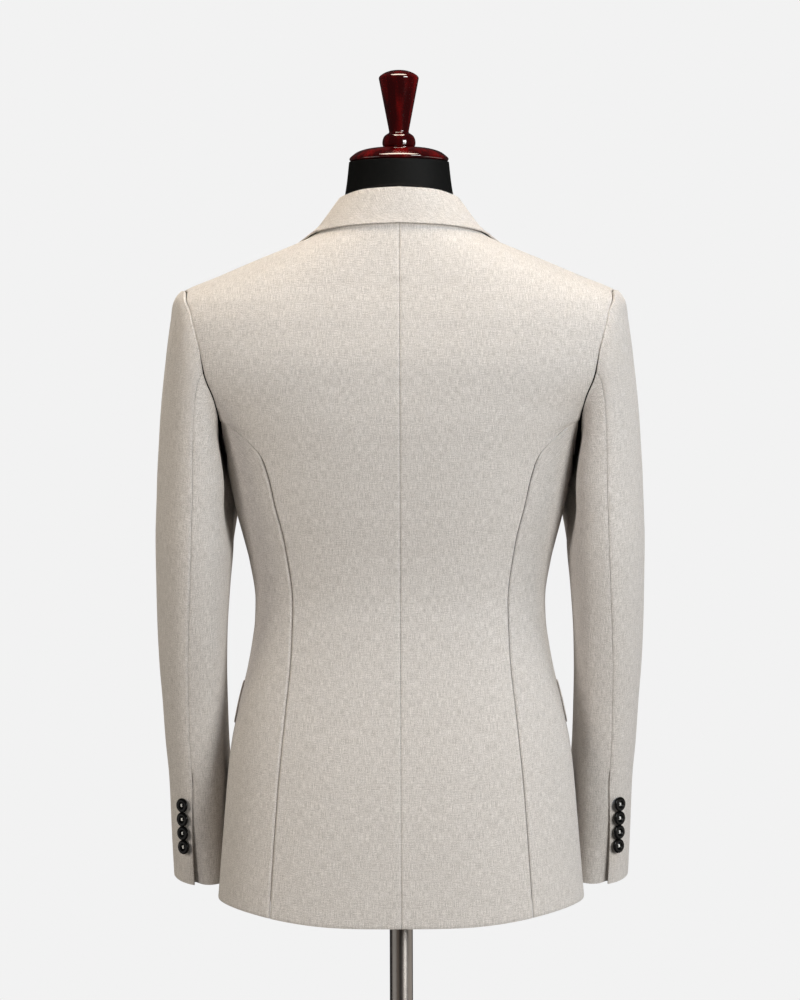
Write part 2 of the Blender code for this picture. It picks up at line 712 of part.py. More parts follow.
def make_buttons(material):
    """Four buttons on each cuff and the one that fastens the fronts."""
    for side, suffix in ((1, "left"), (-1, "right")):
        for number, height in enumerate(CUFF_BUTTON_HEIGHTS, 1):
            rise = np.array([tube_rise(height)])
            turn = np.array([CUFF_BUTTON_TURN])
            foot = mirrored(sleeve_surface(rise, turn), side)[0]
            inner = mirrored(sleeve_inward(rise, turn, 0.001), side)[0]
            normal = (foot - inner) / np.linalg.norm(foot - inner)
            name = f"cuff_button_{suffix}_{number}"
            make_button(name, CUFF_BUTTON_RADIUS, CUFF_BUTTON_THICK, material,
                        foot, normal)
    height, turn = np.array([BUTTON_HEIGHT]), np.array([math.pi])
    foot = front_surface(1, height, turn)[0]
    outer = front_surface(1, height, turn, np.array([0.001]))[0]
    normal = (outer - foot) / np.linalg.norm(outer - foot)
    make_button("front_button", FRONT_BUTTON_RADIUS, FRONT_BUTTON_THICK, material,
                foot + normal * FRONT_BUTTON_STAND, normal)


# ---------------------------------------------------------------- form and stand
def make_form(material):
    """The padded form: rings inside the cloth, closed by flat ends."""
    bm = bmesh.new()
    turns = np.linspace(0, 2 * math.pi, FORM_SEGMENTS, endpoint=False)
    rings = []
    for height in FORM_ROWS:
        heights = height + 0 * turns
        points = body_surface(heights, turns, -FORM_INSET.at("inset", heights))
        points[:, 0] = np.clip(points[:, 0], -FORM_HALF_WIDTH, FORM_HALF_WIDTH)
        if height in (FORM_BOTTOM, FORM_TOP):
            points[:, 2] = height
        if height == FORM_BOTTOM:
            points[:, :2] *= FORM_FOOT_SHARE
        rings.append([bm.verts.new(point) for point in points])
    for low, high in zip(rings, rings[1:]):
        for i in range(FORM_SEGMENTS):
            j = (i + 1) % FORM_SEGMENTS
            bm.faces.new((low[i], high[i], high[j], low[j]))
    bm.faces.new(rings[0])
    bm.faces.new(reversed(rings[-1]))
    bmesh.ops.recalc_face_normals(bm, faces=bm.faces)
    mesh = bpy.data.meshes.new("form")
    bm.to_mesh(mesh)
    bm.free()
    add_object("form", mesh, material)


def make_neck_top(wood):
    """The turned cap on the neck, and the finial: a tapered knob over a bead."""
    cap_foot = FORM_TOP + CONTACT
    turned("neck_cap", raised(NECK_CAP, cap_foot), wood, steps=40)
    foot = cap_foot + NECK_CAP[0][1] + CONTACT
    corner = BEAD_HEIGHT / 2
    bead = arc((BEAD_RADIUS - corner, foot + corner), corner, 78, -60, 7)
    knob = raised(KNOB, foot + BEAD_HEIGHT)
    turned("finial", knob + bead + [(BEAD_FOOT, foot), (0.0, foot)], wood)


def make_stand(steel):
    """The pole under the form and the round foot plate."""
    top, bottom = FORM_BOTTOM - CONTACT, BASE_TOP + CONTACT
    bpy.ops.mesh.primitive_cylinder_add(vertices=32, radius=POLE_RADIUS, depth=top - bottom,
                                        location=(0, 0, (top + bottom) / 2))
    pole = bpy.context.object
    pole.name = "pole"
    pole.data.materials.append(steel)
    for holder in pole.users_collection:
        holder.objects.unlink(pole)
    COLLECTION.objects.link(pole)
    rim = arc((BASE_RADIUS - BASE_RIM, BASE_RIM), BASE_RIM, 80, -80, 7)
    turned("base", [*BASE_PLATE, *rim, (0.0, 0.0)], steel, steps=48)


# ---------------------------------------------------------------- the object
clear_scene()
COLLECTION = bpy.data.collections.new("evening_jacket_on_dress_form")
bpy.context.scene.collection.children.link(COLLECTION)

CLOTH = make_material("cloth", (0.52, 0.47, 0.42), 0.90)
HORN = make_material("button", (0.012, 0.012, 0.012), 0.25)
JERSEY = make_material("form_cover", (0.015, 0.015, 0.016), 0.75)
WOOD = make_material("mahogany", (0.11, 0.012, 0.008), 0.12)
STEEL = make_material("chrome", (0.62, 0.62, 0.62), 0.12, metallic=1.0)

for SIDE, SUFFIX in ((1, "left"), (-1, "right")):
    make_back(SIDE, SUFFIX, CLOTH)
    make_side(SIDE, SUFFIX, CLOTH)
    make_front(SIDE, SUFFIX, CLOTH)
    make_lapel(SIDE, SUFFIX, CLOTH)
    make_flap(SIDE, SUFFIX, CLOTH)
    make_sleeve(SIDE, SUFFIX, CLOTH)
make_collar(CLOTH)
make_buttons(HORN)
make_form(JERSEY)
make_neck_top(WOOD)
make_stand(STEEL)
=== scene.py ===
"""A tailored evening jacket on a limbless dress form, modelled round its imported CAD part.

The file is laid out as an add-on.  The settings hold the sizes and colours, each operator
makes one piece or a group of like pieces, and main() calls the operators in order.

Metres, +Z up.  The jacket faces -Y, so its back faces +Y and the wearer's left is +X.
A place on the body is a height and a turn: the angle from the centre back (0) round the
side (90 degrees) to the centre front (180 degrees).
"""
import math

import bmesh
import bpy
import numpy as np
from bpy.props import FloatProperty, FloatVectorProperty, PointerProperty
from mathutils import Matrix


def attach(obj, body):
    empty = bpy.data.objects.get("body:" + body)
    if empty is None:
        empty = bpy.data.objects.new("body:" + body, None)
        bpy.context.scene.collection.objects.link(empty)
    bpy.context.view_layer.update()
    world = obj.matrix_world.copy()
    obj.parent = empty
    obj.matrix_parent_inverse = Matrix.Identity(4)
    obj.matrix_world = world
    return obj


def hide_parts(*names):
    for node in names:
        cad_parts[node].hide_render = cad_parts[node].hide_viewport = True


bl_info = {
    "name": "Evening Jacket on a Dress Form",
    "version": (1, 0, 0),
    "blender": (4, 5, 0),
    "location": "View3D > Sidebar > Jacket",
    "description": "Makes a tailored evening jacket, the form that wears it and its stand",
    "category": "Add Mesh",
}

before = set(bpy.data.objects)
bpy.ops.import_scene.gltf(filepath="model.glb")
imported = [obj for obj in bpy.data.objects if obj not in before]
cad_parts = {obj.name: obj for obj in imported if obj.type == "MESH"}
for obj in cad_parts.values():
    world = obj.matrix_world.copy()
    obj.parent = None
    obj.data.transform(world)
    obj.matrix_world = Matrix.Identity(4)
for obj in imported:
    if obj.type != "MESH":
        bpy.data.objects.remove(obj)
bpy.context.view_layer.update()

# ---------------------------------------------------------------- driving dimensions
SIDES = (1, "left"), (-1, "right")
EDGE_ANGLE = math.radians(55)  # a sheet's sharper edges are rounded as turned edges
SEAM = 0.00024  # gap between two panels at a seam
TIGHT_SEAM = 0.00010  # and where it is hardly seen
LAY = 0.0004  # gap under a piece that lies on another
LOOSE = 0.0010  # gap under a lapel, which lies less closely
FINE, COARSE = 0.0006, 0.0042  # widths of the grid's cells at a seam and away from it
LAPEL_FINE, FLAP_FINE = 0.0008, 0.0010  # the finest cells of a lapel and a flap
GROWTH = 1.3  # from one cell to the next, away from an edge
NEAR = 1e-4  # a step along a surface, short enough to find its normal
PROBE = 0.001  # a step off a surface, to find the way that a button faces

HEM = 0.7138  # centre back of the hem
HEM_SIDE_RISE = 0.0225  # how much higher the hem is at the side seam
TIP = 1.384  # height of the shoulder tip
CALM = 1.345  # above this height a panel's columns turn gently towards the shoulder seam
UNDERARM = 1.205  # lowest point of the armhole
SIDE_JOIN = 1.243  # where the side-back seam runs into the armhole
NECK_BACK = 1.467  # centre back of the neck seam
NECK_SIDE = 1.457  # neck seam at the shoulder seam
BUTTON_HEIGHT = 1.060  # the one front button

HEM_POWER = 5  # how closely the hem's rise is kept to the side
HEM_FADE = 0.10  # above the hem, where its rise at the side has run out
NECK_FADE = 0.03  # below the neck seam, where its rise at the back begins
HEM_ROLL, HEM_ROLL_WIDTH = 0.0006, 0.0012  # how the hem's lower edge rolls in
HEM_ROWS = HEM + np.array((0.0006, 0.0014, 0.0026, 0.0042))  # rows that show it

SWELL = 0.00012  # how the cloth swells over a seam's turned-in allowance
SWELL_NEAR, SWELL_FAR = (0.001, 0.004), (0.008, 0.015)  # where that begins and ends
CRISP_DIP = 0.6  # how much deeper a crisp seam dips
CRISP_RIDGE, CRISP_PLACE, CRISP_WIDTH = 0.0004, 0.0026, 0.0012  # the ridge beside it
SINK, SINK_WIDTH = 0.0040, 0.0075  # of the cloth towards the lower half of the armhole
BACK_SINK = 0.6  # how much of that the back has
JOIN_BELOW, JOIN_ABOVE = 1.222, 1.262  # heights between which it changes, round the join
PRESSED = 0.9  # how much of the side-back seam's dip is pressed away below the armhole
PRESSED_FROM = 1.200, 1.214  # heights over which that comes in
CRISP_BELOW = 1.198, 1.208  # where that seam turns from crisp to pressed

ARMHOLE_FRONT = math.radians(24.0)  # how far the armhole reaches in front of the side
ARMHOLE_HOLLOW = -0.05  # how much its lower half is more hollow than the upper, in front
ARMHOLE_DISTANCE = 0.2  # from the body's middle, to turn a margin into an angle
SIDE_FRONT_PHASE = math.radians(205.8)  # where the side-front seam meets the armhole
SIDE_FRONT_SLANT = math.radians(9)  # how much further forward that seam is at the hem
SLANT_END = 0.95  # height down to which it slants
FAN_POWER = 8  # how closely the tip's corner is kept to a panel's outermost columns
SIDE_POWER = 6  # how closely the armhole's edge is kept to the side's uppermost rows
BACK_SPAN, SIDE_SPAN, FRONT_SPAN = 0.22, 0.11, 0.25  # rough widths, to lay out the grids
SIDE_LENGTH = 0.53  # and the side's rough length
BACK_BETWEEN, FRONT_BETWEEN = 8, 7  # how many grid rows follow each row of the lists below
WRAP_ACROSS = 0.030, 0.055  # the left front stands off the right one up to here,
WRAP_HEIGHTS = 1.120, 1.175  # and up to here

SLEEVE_TOP = 1.170  # ring where the sleeve head ends and the tube begins
SLEEVE_SQUARENESS = 2.2  # of the sleeve's rings; 2 is an ellipse, and more is squarer
SLEEVE_PRESS = 1.85  # the same between the outer side and the hind seam, a soft ridge
HOLLOW_TURN, HOLLOW_WIDTH = math.radians(155), math.radians(30)  # of the armpit's groove
BULGE_TURN, BULGE_WIDTH = math.radians(228), math.radians(11)
SLEEVE_HEAD = 0.13  # length of the sleeve head
# Where the head's last rows lie, below the armhole's edge.
HEAD_ROWS = np.array((0.0088, 0.0072, 0.0058, 0.0046, 0.0036, 0.0027, 0.0019, 0.0012,
                      0.0006, 0.0))
HEAD_SHARE, HEAD_COUNT = 0.92, 40  # how far up the head the rows above the tube reach
HEAD_REACH = 0.007, 0.023  # how far it runs straight off the seam, below and above
LEAVE_OUT, LEAVE_BACK, LEAVE_DOWN = 0.30, 0.25, 0.15  # least shares of its direction there
HEAD_FOLLOW = 0.5  # how far the tube runs on straight up, as a share of the head's rise
SLEEVE_REACH = 0.055  # from the sleeve's middle, to turn a gap into an angle
TOP_SPAN, UNDER_SPAN, TUBE_LENGTH = 0.19, 0.15, 0.4175  # rough sizes, for the grids
TUBE_FINE, SLEEVE_COARSE = 0.0008, 0.0030  # closest rows, and widest columns
CUFF = 0.7525  # the tube's lowest ring
CUFF_TILT = 0.12  # fall of the cuff towards the back
TILT_TOP = 1.0  # height above which the rings lie level
FRONT_ARM_SEAM = math.radians(-104)  # turns round the sleeve, from its outer side
HIND_ARM_SEAM = math.radians(90)
HEAD_RIDGE = 0.0008  # height of the ridge where the armhole's allowance lies in the sleeve
HEAD_RIDGE_PLACE, HEAD_RIDGE_WIDTH = 0.0042, 0.0024  # its distance from the seam
HEAD_DIP = 1.6  # how much deeper and wider than other seams the armhole's dips
SINK_FROM = math.radians(122), math.radians(150)  # turns between which the sleeve sinks,
SINK_TO = math.radians(200), math.radians(235)  # at the armhole's lower half
HIND_SHARE = 0.5  # how marked the hind seam is; it is pressed open
VENT_TOP = 0.852  # upper end of the cuff vent
VENT_UNDERLAP = 0.006  # how far the under sleeve reaches below the vent's edge
VENT_FADE = 0.010  # over this height the cuff vent closes into the hind seam
VENT_DEPTH = 0.0060  # how far the under sleeve lies below the vent's edge at the cuff
VENT_LEAN = math.radians(3)  # how far the vent's edge leans outwards at the cuff
LEAN_TOP = 0.90  # height below which it leans
TUCK_FADE = 2.5  # how many of those fades above the vent the under sleeve has come up
TUCK_REACH = 0.5, 3.2  # how wide it is tucked in, in underlaps, above and at the cuff
VENT_CLEAR = 0.02  # keeps the hind seam's dip off the open vent
CUFF_FADE = -0.85  # the rise where the cuff's edge no longer shapes the rows
CUFF_SLOPE, CUFF_SLOPE_POWER = 0.0042, 0.8  # how the cuff rises on its outer side,
CUFF_INSIDE = 0.003  # on its inner side
CUFF_CORNER, CUFF_CORNER_WIDTH = 0.0018, 0.010  # and at the under sleeve's corner

FLAP_TOP, FLAP_BOTTOM = 0.968, 0.922
FLAP_TURNS = math.radians(86), math.radians(133)
FLAP_WALL = 0.0011  # two layers of cloth
FLAP_SPAN, FLAP_LENGTH = 0.145, 0.045  # rough sizes, to lay out the grid
FLAP_CORNER, CORNER_POWER = 0.010, 8  # how high and how tightly its corners are rounded
FLAP_SLANT = 0.006  # how much lower it is in front than behind
FLAP_LAY, FLAP_STAND = 0.0001, 0.0004  # its gap at the top, and how much more below
FLAP_HINGE = 0.88  # the share of its height above which that gap closes

CUFF_BUTTON_HEIGHTS = 0.8385, 0.8237, 0.8089, 0.7941
CUFF_BUTTON_TURN = math.radians(79)
BUTTON_TILT = math.radians(9.5)  # each button's lower rim lies on the next one
BUTTON_THICK = 0.46  # a button's thickness as a share of its radius
# Its dished face, as shares of its radius and its thickness.
BUTTON_DISH = (0.0, 0.60), (0.22, 0.60), (0.34, 0.70), (0.46, 0.92), (0.60, 1.00)
STITCH_SPAN, STITCH_THICK = 0.17, 0.085  # half a stitch, and its thread, in radii
STITCH_ANGLES, STITCH_RISE = (70, 122), 0.55  # in degrees; and how flat they lie
FRONT_BUTTON_STAND = 0.0003  # the front bows a little under its flat back

FORM_BOTTOM = 0.800
FORM_TOP = 1.5225
FORM_HALF_WIDTH = 0.222  # its flat ends behind the armholes
FORM_FOOT_SHARE = 0.93  # the flat underside, against the ring just above it
FORM_FOOT_ROUND = 0.012  # height over which the form draws in to it
FORM_NECK = 1.47  # above this height its rows are closer, for the seam
FORM_COLUMNS, FORM_ROWS = 145, (6, 130, 70)  # its foot's rows, its body's and its neck's
COVER_SEAM, COVER_SEAM_WIDTH = 0.0006, 0.0010  # the raised seam round the neck's foot,
COVER_BACK, COVER_FRONT, COVER_DROP = 1.4946, 1.4866, 0.0080  # its height, and its fall
COVER_POWER = 1.6  # from the back to the sides
CONTACT = 0.0003  # between hard pieces that touch


class Table:
    """Rows of numbers under named columns, read at any value of the first column."""

    def __init__(self, columns, *rows):
        self.names = columns.split()
        self.columns = dict(zip(self.names, np.array(rows, dtype=float).T))

    def at(self, column, key):
        """A column's value by a cubic that never overshoots its rows."""
        keys, values = self.columns[self.names[0]], self.columns[column]
        slopes = np.diff(values) / np.diff(keys)
        before, after = slopes[:-1], slopes[1:]
        same_sign = before * after > 0
        steepness = np.where(same_sign, before + after, 1.0)
        middle = np.where(same_sign, 2 * before * after / steepness, 0.0)
        tangents = np.concatenate(([slopes[0]], middle, [slopes[-1]]))
        key = np.clip(key, keys[0], keys[-1])
        row = np.clip(np.searchsorted(keys, key) - 1, 0, len(keys) - 2)
        step = keys[row + 1] - keys[row]
        part = (key - keys[row]) / step
        rise = values[row + 1] - values[row]
        start = step * tangents[row] - rise
        end = rise - step * tangents[row + 1]
        return values[row] + part * rise + part * (1 - part) * ((1 - part) * start + part * end)


# Rings of the body, up the slope of the shoulder to the neck.  Beside the armhole a ring
# runs on through the sleeve head, where nothing is cut from it.
BODY = Table(
    "height half_width back front centre squareness",
    (0.700, 0.1985, 0.1400, 0.1290, 0.018, 2.30),
    (0.734, 0.1955, 0.1385, 0.1280, 0.018, 2.30),
    (0.815, 0.1890, 0.1330, 0.1255, 0.016, 2.30),
    (0.880, 0.1836, 0.1255, 0.1225, 0.012, 2.30),
    (0.905, 0.1804, 0.1214, 0.1209, 0.010, 2.30),
    (0.925, 0.1764, 0.1176, 0.1200, 0.009, 2.30),
    (0.946, 0.1722, 0.1140, 0.1190, 0.008, 2.30),
    (0.967, 0.1670, 0.1094, 0.1182, 0.006, 2.30),
    (0.988, 0.1624, 0.1053, 0.1175, 0.004, 2.30),
    (1.010, 0.1586, 0.1015, 0.1168, 0.002, 2.30),
    (1.031, 0.1559, 0.0985, 0.1162, 0.001, 2.30),
    (1.053, 0.1552, 0.0965, 0.1160, 0.000, 2.30),
    (1.096, 0.1615, 0.1000, 0.1185, 0.000, 2.30),
    (1.117, 0.1668, 0.1033, 0.1208, 0.000, 2.32),
    (1.145, 0.1744, 0.1077, 0.1240, 0.000, 2.35),
    (1.175, 0.1810, 0.1118, 0.1272, 0.000, 2.38),
    (1.205, 0.1885, 0.1155, 0.1300, 0.000, 2.40),
    (1.250, 0.2105, 0.1195, 0.1320, 0.000, 2.45),
    (1.295, 0.2500, 0.1190, 0.1285, 0.000, 2.45),
    (1.345, 0.2630, 0.1110, 0.1170, 0.000, 2.40),
    (1.368, 0.2540, 0.1050, 0.1080, 0.000, 2.35),
    (1.384, 0.2312, 0.1000, 0.1000, 0.000, 2.30),
    (1.400, 0.1930, 0.0955, 0.0925, 0.000, 2.30),
    (1.417, 0.1530, 0.0900, 0.0845, 0.000, 2.30),
    (1.434, 0.1115, 0.0838, 0.0765, 0.000, 2.30),
    (1.441, 0.0962, 0.0810, 0.0735, 0.000, 2.30),
    (1.450, 0.0838, 0.0770, 0.0700, 0.000, 2.30),
    (1.458, 0.0775, 0.0732, 0.0675, 0.000, 2.25),
    (1.468, 0.0705, 0.0693, 0.0655, 0.000, 2.20),
    (1.478, 0.0660, 0.0660, 0.0640, 0.000, 2.10),
    (1.4925, 0.0622, 0.0622, 0.0622, 0.000, 2.00),
    (1.530, 0.0578, 0.0578, 0.0578, 0.000, 2.00),
)
# How far the armhole reaches behind the side, round its back half from the shoulder tip.
ARMHOLE_BACK = Table(
    "phase reach",
    (0, 0.0),
    (4, 4.2),
    (9, 7.2),
    (16, 9.4),
    (38, 15.2),
    (48, 17.1),
    (67, 19.6),
    (77, 20.6),
    (90, 21.0),
    (102, 20.7),
    (119, 17.6),
    (145, 9.6),
    (163, 4.4),
    (180, 0.0),
)
# Seam between the back and the side panel.
SIDE_BACK_SEAM = Table(
    "height across",
    (0.700, 0.1395),
    (0.759, 0.1360),
    (0.861, 0.1290),
    (0.942, 0.1210),
    (0.992, 0.1160),
    (1.050, 0.1140),
    (1.114, 0.1220),
    (1.154, 0.1320),
    (1.181, 0.1380),
    (1.206, 0.1465),
    (1.220, 0.1580),
    (1.233, 0.1740),
    (1.243, 0.1922),
)
# Free edge of a front panel: the cutaway, the buttoning edge, the roll line and the neck.
FRONT_EDGE = Table(
    "height across",
    (0.7148, 0.0880),
    (0.7180, 0.0740),
    (0.724, 0.0600),
    (0.735, 0.0460),
    (0.755, 0.0320),
    (0.790, 0.0180),
    (0.840, 0.0060),
    (0.900, -0.0040),
    (0.960, -0.0120),
    (1.020, -0.0170),
    (1.060, -0.0180),
    (1.085, -0.0110),
    (1.110, 0.0040),
    (1.150, 0.0130),
    (1.200, 0.0220),
    (1.300, 0.0410),
    (1.380, 0.0575),
    (1.406, 0.0660),
    (1.430, 0.0775),
    (1.452, 0.0785),
)
# The lapel's fold and outer edge.
LAPEL = Table(
    "height fold edge",
    (1.112, 0.0055, 0.0160),
    (1.150, 0.0135, 0.0460),
    (1.200, 0.0225, 0.0730),
    (1.270, 0.0355, 0.1000),
    (1.330, 0.0475, 0.1200),
    (1.375, 0.0570, 0.1370),
    (1.399, 0.0635, 0.1480),
)
LAPEL_SPAN, LAPEL_LENGTH = 0.085, 0.29  # rough sizes, to lay out the grid
LAPEL_CURL = 0.0012  # how far its outer edge curls off the front
CURL_FROM, CURL_FADE = 0.80, 0.25  # across it, and up from its lower end
LAPEL_BELLY = 0.0006  # how far its middle bows off the front, at the top
PEAK_STAND, STAND_POWER = 0.0032, 4  # how much further the peak stands off the chest
PEAK_RISE, PEAK_POWER = 0.021, 8  # the peak's tip above the bottom of the notch
NOTCH_PLACE = 0.55  # where that bottom is, across the lapel
LAPEL_ROLL, ROLL_OUT = 0.0018, 0.0001  # radius of the rolled edge, and its start
ROLL_SHARE, ROLL_COLUMNS = 0.09, 12  # how much of the lapel's width the roll takes up
ROLL_RISE = 0.35  # the share of the roll that climbs to the front's outer face
# The collar: its foot, its fold and its outer edge, round half of the neck.
COLLAR = Table(
    "turn fold_radius fold_height foot_height edge_turn edge_height",
    (0, 0.0668, 1.4905, 1.4690, 0, 1.4515),
    (30, 0.0665, 1.4890, 1.4680, 33, 1.4495),
    (60, 0.0652, 1.4845, 1.4645, 62, 1.4455),
    (90, 0.0648, 1.4800, 1.4610, 90, 1.4405),
    (112, 0.0735, 1.4660, 1.4560, 110, 1.4280),
    (128, 0.0925, 1.4445, 1.4440, 121, 1.4050),
    (144, 0.1115, 1.4070, 1.4110, 131, 1.3815),
)
COLLAR_END, COLLAR_COLUMNS = 144.0, 181  # degrees from the centre back to each end
COLLAR_BETWEEN = 7  # how many rows follow each one of the section
COLLAR_LOOSE = 3 * COLLAR_BETWEEN + 5  # the row past the fold from which it is smoothed,
COLLAR_SMOOTHING = 40  # and how many times
COLLAR_FOLD_ROUND, COLLAR_FOLD_DROP = 0.0018, 0.0026  # half the fold's width, and how far down
# The fall: parts of the way from foot to edge, with the gap under it there.
COLLAR_FALL = (0.30, 0.0028), (0.62, 0.0018), (1.0, 0.0018)
# The sleeve tube below its head, and how flat it is between the hind seam and its inner side.
SLEEVE = Table(
    "height outer half_width half_depth forward turn flatness",
    (0.7525, 0.2466, 0.0325, 0.0550, -0.067, 6.0, 3.3),
    (0.8000, 0.2485, 0.0322, 0.0560, -0.057, 6.0, 3.3),
    (0.8600, 0.2503, 0.0331, 0.0580, -0.043, 5.5, 3.3),
    (0.9030, 0.2538, 0.0338, 0.0600, -0.033, 4.8, 3.2),
    (0.9460, 0.2563, 0.0347, 0.0625, -0.023, 3.5, 3.2),
    (0.9880, 0.2592, 0.0362, 0.0655, -0.013, 2.0, 3.3),
    (1.0310, 0.2608, 0.0378, 0.0690, -0.005, 0.5, 2.9),
    (1.0740, 0.2615, 0.0398, 0.0730, 0.0005, 0.0, 2.6),
    (1.1170, 0.2620, 0.0420, 0.0765, 0.003, 0.0, 2.45),
    (1.1700, 0.2605, 0.0424, 0.0785, 0.003, 0.0, 2.4),
)
# Below the armhole the sleeve is hollowed behind its inner side, which leaves a deep
# groove beside the body, and bulges towards the body in front of it.
ARMPIT = Table(
    "height hollow bulge",
    (1.0600, 0.0, 0.0),
    (1.0800, 0.0, 0.0006),
    (1.1050, 0.0015, 0.0014),
    (1.1200, 0.0045, 0.0030),
    (1.1350, 0.0080, 0.0050),
    (1.1440, 0.0100, 0.0062),
    (1.1550, 0.0115, 0.0066),
    (1.1700, 0.0120, 0.0066),
    (1.1850, 0.0120, 0.0066),
)
# How much flatter the outer side of the sleeve head is than its guiding curve.
HEAD_TRIM = Table(
    "height trim",
    (1.170, 0.0),
    (1.181, 0.0002),
    (1.203, 0.0010),
    (1.224, 0.0018),
    (1.246, 0.0024),
    (1.267, 0.0031),
    (1.289, 0.0039),
    (1.310, 0.0044),
    (1.332, 0.0043),
    (1.353, 0.0034),
    (1.374, 0.0002),
    (1.390, 0.0),
)
# How far the form lies inside the cloth's outer face.
FORM_INSET = Table(
    "height inset",
    (0.790, 0.0240),
    (0.950, 0.0150),
    (1.050, 0.0090),
    (1.200, 0.0080),
    (1.300, 0.0070),
    (1.350, 0.0080),
    (1.395, 0.0070),
    (1.415, 0.0045),
    (1.452, 0.0036),
    (1.468, 0.0040),
    (1.480, 0.0050),
    (1.530, 0.0050),
)
# Heights between which the rows of a panel are spread evenly.
BACK_ROWS = (
    HEM, 0.760, 0.815, 0.870, 0.920, 0.965, 1.010, 1.055, 1.100, 1.145, 1.180, 1.206,
    1.222, 1.234, SIDE_JOIN, 1.270, 1.305, 1.338, 1.360, 1.374, 1.3815, TIP, 1.394,
    1.410, 1.426, 1.442, NECK_SIDE,
)
FRONT_ROWS = (
    0.7148, 0.720, 0.735, 0.755, 0.790, 0.840, 0.890, 0.930, 0.970, 1.010, 1.050, 1.090,
    1.125, 1.170, 1.214, 1.245, 1.285, 1.325, 1.355, 1.372, 1.3815, TIP, 1.394, 1.410,
    1.428, 1.448,
)

# Turned outlines as (radius, height above the piece's foot), from the top down.
NECK_CAP = (
    (0.0, 0.0152), (0.0190, 0.0150), (0.0345, 0.0133), (0.0448, 0.0100), (0.0502, 0.0062),
    (0.0532, 0.0030), (0.0522, 0.0006), (0.0502, 0.0), (0.0, 0.0),
)
BEAD = (
    (0.0122, 0.0145), (0.0155, 0.0120), (0.0174, 0.0080), (0.0178, 0.0036), (0.0170, 0.0009),
    (0.0155, 0.0),
)
KNOB_CROWN = (
    (0.0, 0.0683), (0.0078, 0.0676), (0.0145, 0.0655), (0.0184, 0.0633), (0.0209, 0.0610),
    (0.02145, 0.0592), (0.0211, 0.0572),
)
KNOB_WAIST = (0.0108, 0.0036), (0.0106, 0.0018), (0.0112, 0.0005), (0.0122, 0.0)
BETWEEN = 6  # how many points follow each one of a turned outline
POLE_RADIUS, POLE_EDGE = 0.0124, 0.0008  # and the rounding of its ends
BASE_RADIUS, BASE_TOP, BASE_RIM = 0.168, 0.034, 0.005
SOCKET_RADIUS, SOCKET_EDGE = 0.0210, 0.0015
FILLET = (0.0270, 0.0195), 0.0060  # centre and radius of the hollow under the socket
PLATE_BREAK = 0.0700, 0.0128  # where the foot plate begins to fall towards its rim


# ---------------------------------------------------------------- settings
def length_setting(name, description, default, **more):
    """A length that a user may change."""
    return FloatProperty(name=name, description=description, default=default, min=0.0,
                         unit="LENGTH", precision=4, **more)


def colour_setting(name, description, default):
    """A colour that a user may change."""
    return FloatVectorProperty(name=name, description=description, default=default,
                               subtype="COLOR", min=0.0, max=1.0)


class JacketSettings(bpy.types.PropertyGroup):
    """Cloth, seams and buttons."""

    wall: length_setting("Cloth Thickness", "Cloth with its canvas and lining", 0.0016)
    seam_depth: length_setting("Seam Depth", "How far the cloth dips into a seam", 0.0007)
    seam_width: length_setting("Seam Width", "How wide that dip is to either side", 0.0010)
    edge_round: length_setting("Edge Rounding", "Radius of a turned edge", 0.0005)
    yarn: length_setting("Yarn Spacing", "From one yarn of the weave to the next", 0.0007)
    light_yarn: colour_setting("Light Yarn", "Palest fibres", (0.80, 0.75, 0.70))
    dark_yarn: colour_setting("Dark Yarn", "Darkest fibres", (0.44, 0.40, 0.36))
    lining: colour_setting("Lining", "Satin inside the jacket", (0.55, 0.50, 0.44))
    button: colour_setting("Button", "Polished horn", (0.002, 0.002, 0.002))
    thread: colour_setting("Button Thread", "Thread that sews the buttons on",
                           (0.95, 0.93, 0.88))
    cuff_button_radius: length_setting("Cuff Button Radius", "Buttons at the cuffs", 0.0078)
    front_button_radius: length_setting("Front Button Radius", "Button at the waist", 0.0100)


class FormSettings(bpy.types.PropertyGroup):
    """The form and its stand."""

    jersey: colour_setting("Cover", "Stretch cover of the form", (0.0026, 0.0028, 0.0028))
    wood_red: colour_setting("Wood, Red", "Paler grain of the stained wood",
                             (0.135, 0.0018, 0.0016))
    wood_dark: colour_setting("Wood, Dark", "Darker grain of the stained wood",
                              (0.026, 0.0004, 0.0006))
    chrome: colour_setting("Chrome", "Pole and foot", (0.34, 0.32, 0.30))


class StageSettings(bpy.types.PropertyGroup):
    """Floor, light and camera."""

    backdrop: colour_setting("Backdrop", "Floor and surroundings", (0.888, 0.888, 0.888))
    distance: length_setting("Camera Distance", "From the middle of the object", 4.5)
    eye: length_setting("Camera Height", "Above the floor", 1.16)
    view_height: length_setting("View Height", "What the picture holds from top to bottom",
                                1.0723)
    ambient: FloatProperty(name="Ambient", description="Even light from all round",
                           default=0.02, min=0.0)


# ---------------------------------------------------------------- the body's surface
def blend(start, end, part):
    """The point a part of the way from start to end."""
    return start + (end - start) * part


def ease(start, end, value):
    """0 before start, 1 after end, and a smooth step between them."""
    part = np.clip((value - start) / (end - start), 0.0, 1.0)
    return part * part * (3 - 2 * part)


def bell(distance, width):
    """1 at distance 0, and fading to 0 beyond a few widths."""
    return np.exp(-(distance / width) ** 2)


def oval(turn, half_width, ahead, behind, squareness):
    """Distance from an oval's centre to its rim, at a turn from the direction ahead."""
    depth = np.where(np.cos(turn) > 0, ahead, behind)
    side = np.abs(np.sin(turn) / half_width) ** squareness
    along = np.abs(np.cos(turn) / depth) ** squareness
    return (side + along) ** (-1 / squareness)


def body_ring(height):
    """The ring's half width, back, front, centre and squareness at a height."""
    return [BODY.at(name, height) for name in BODY.names[1:]]


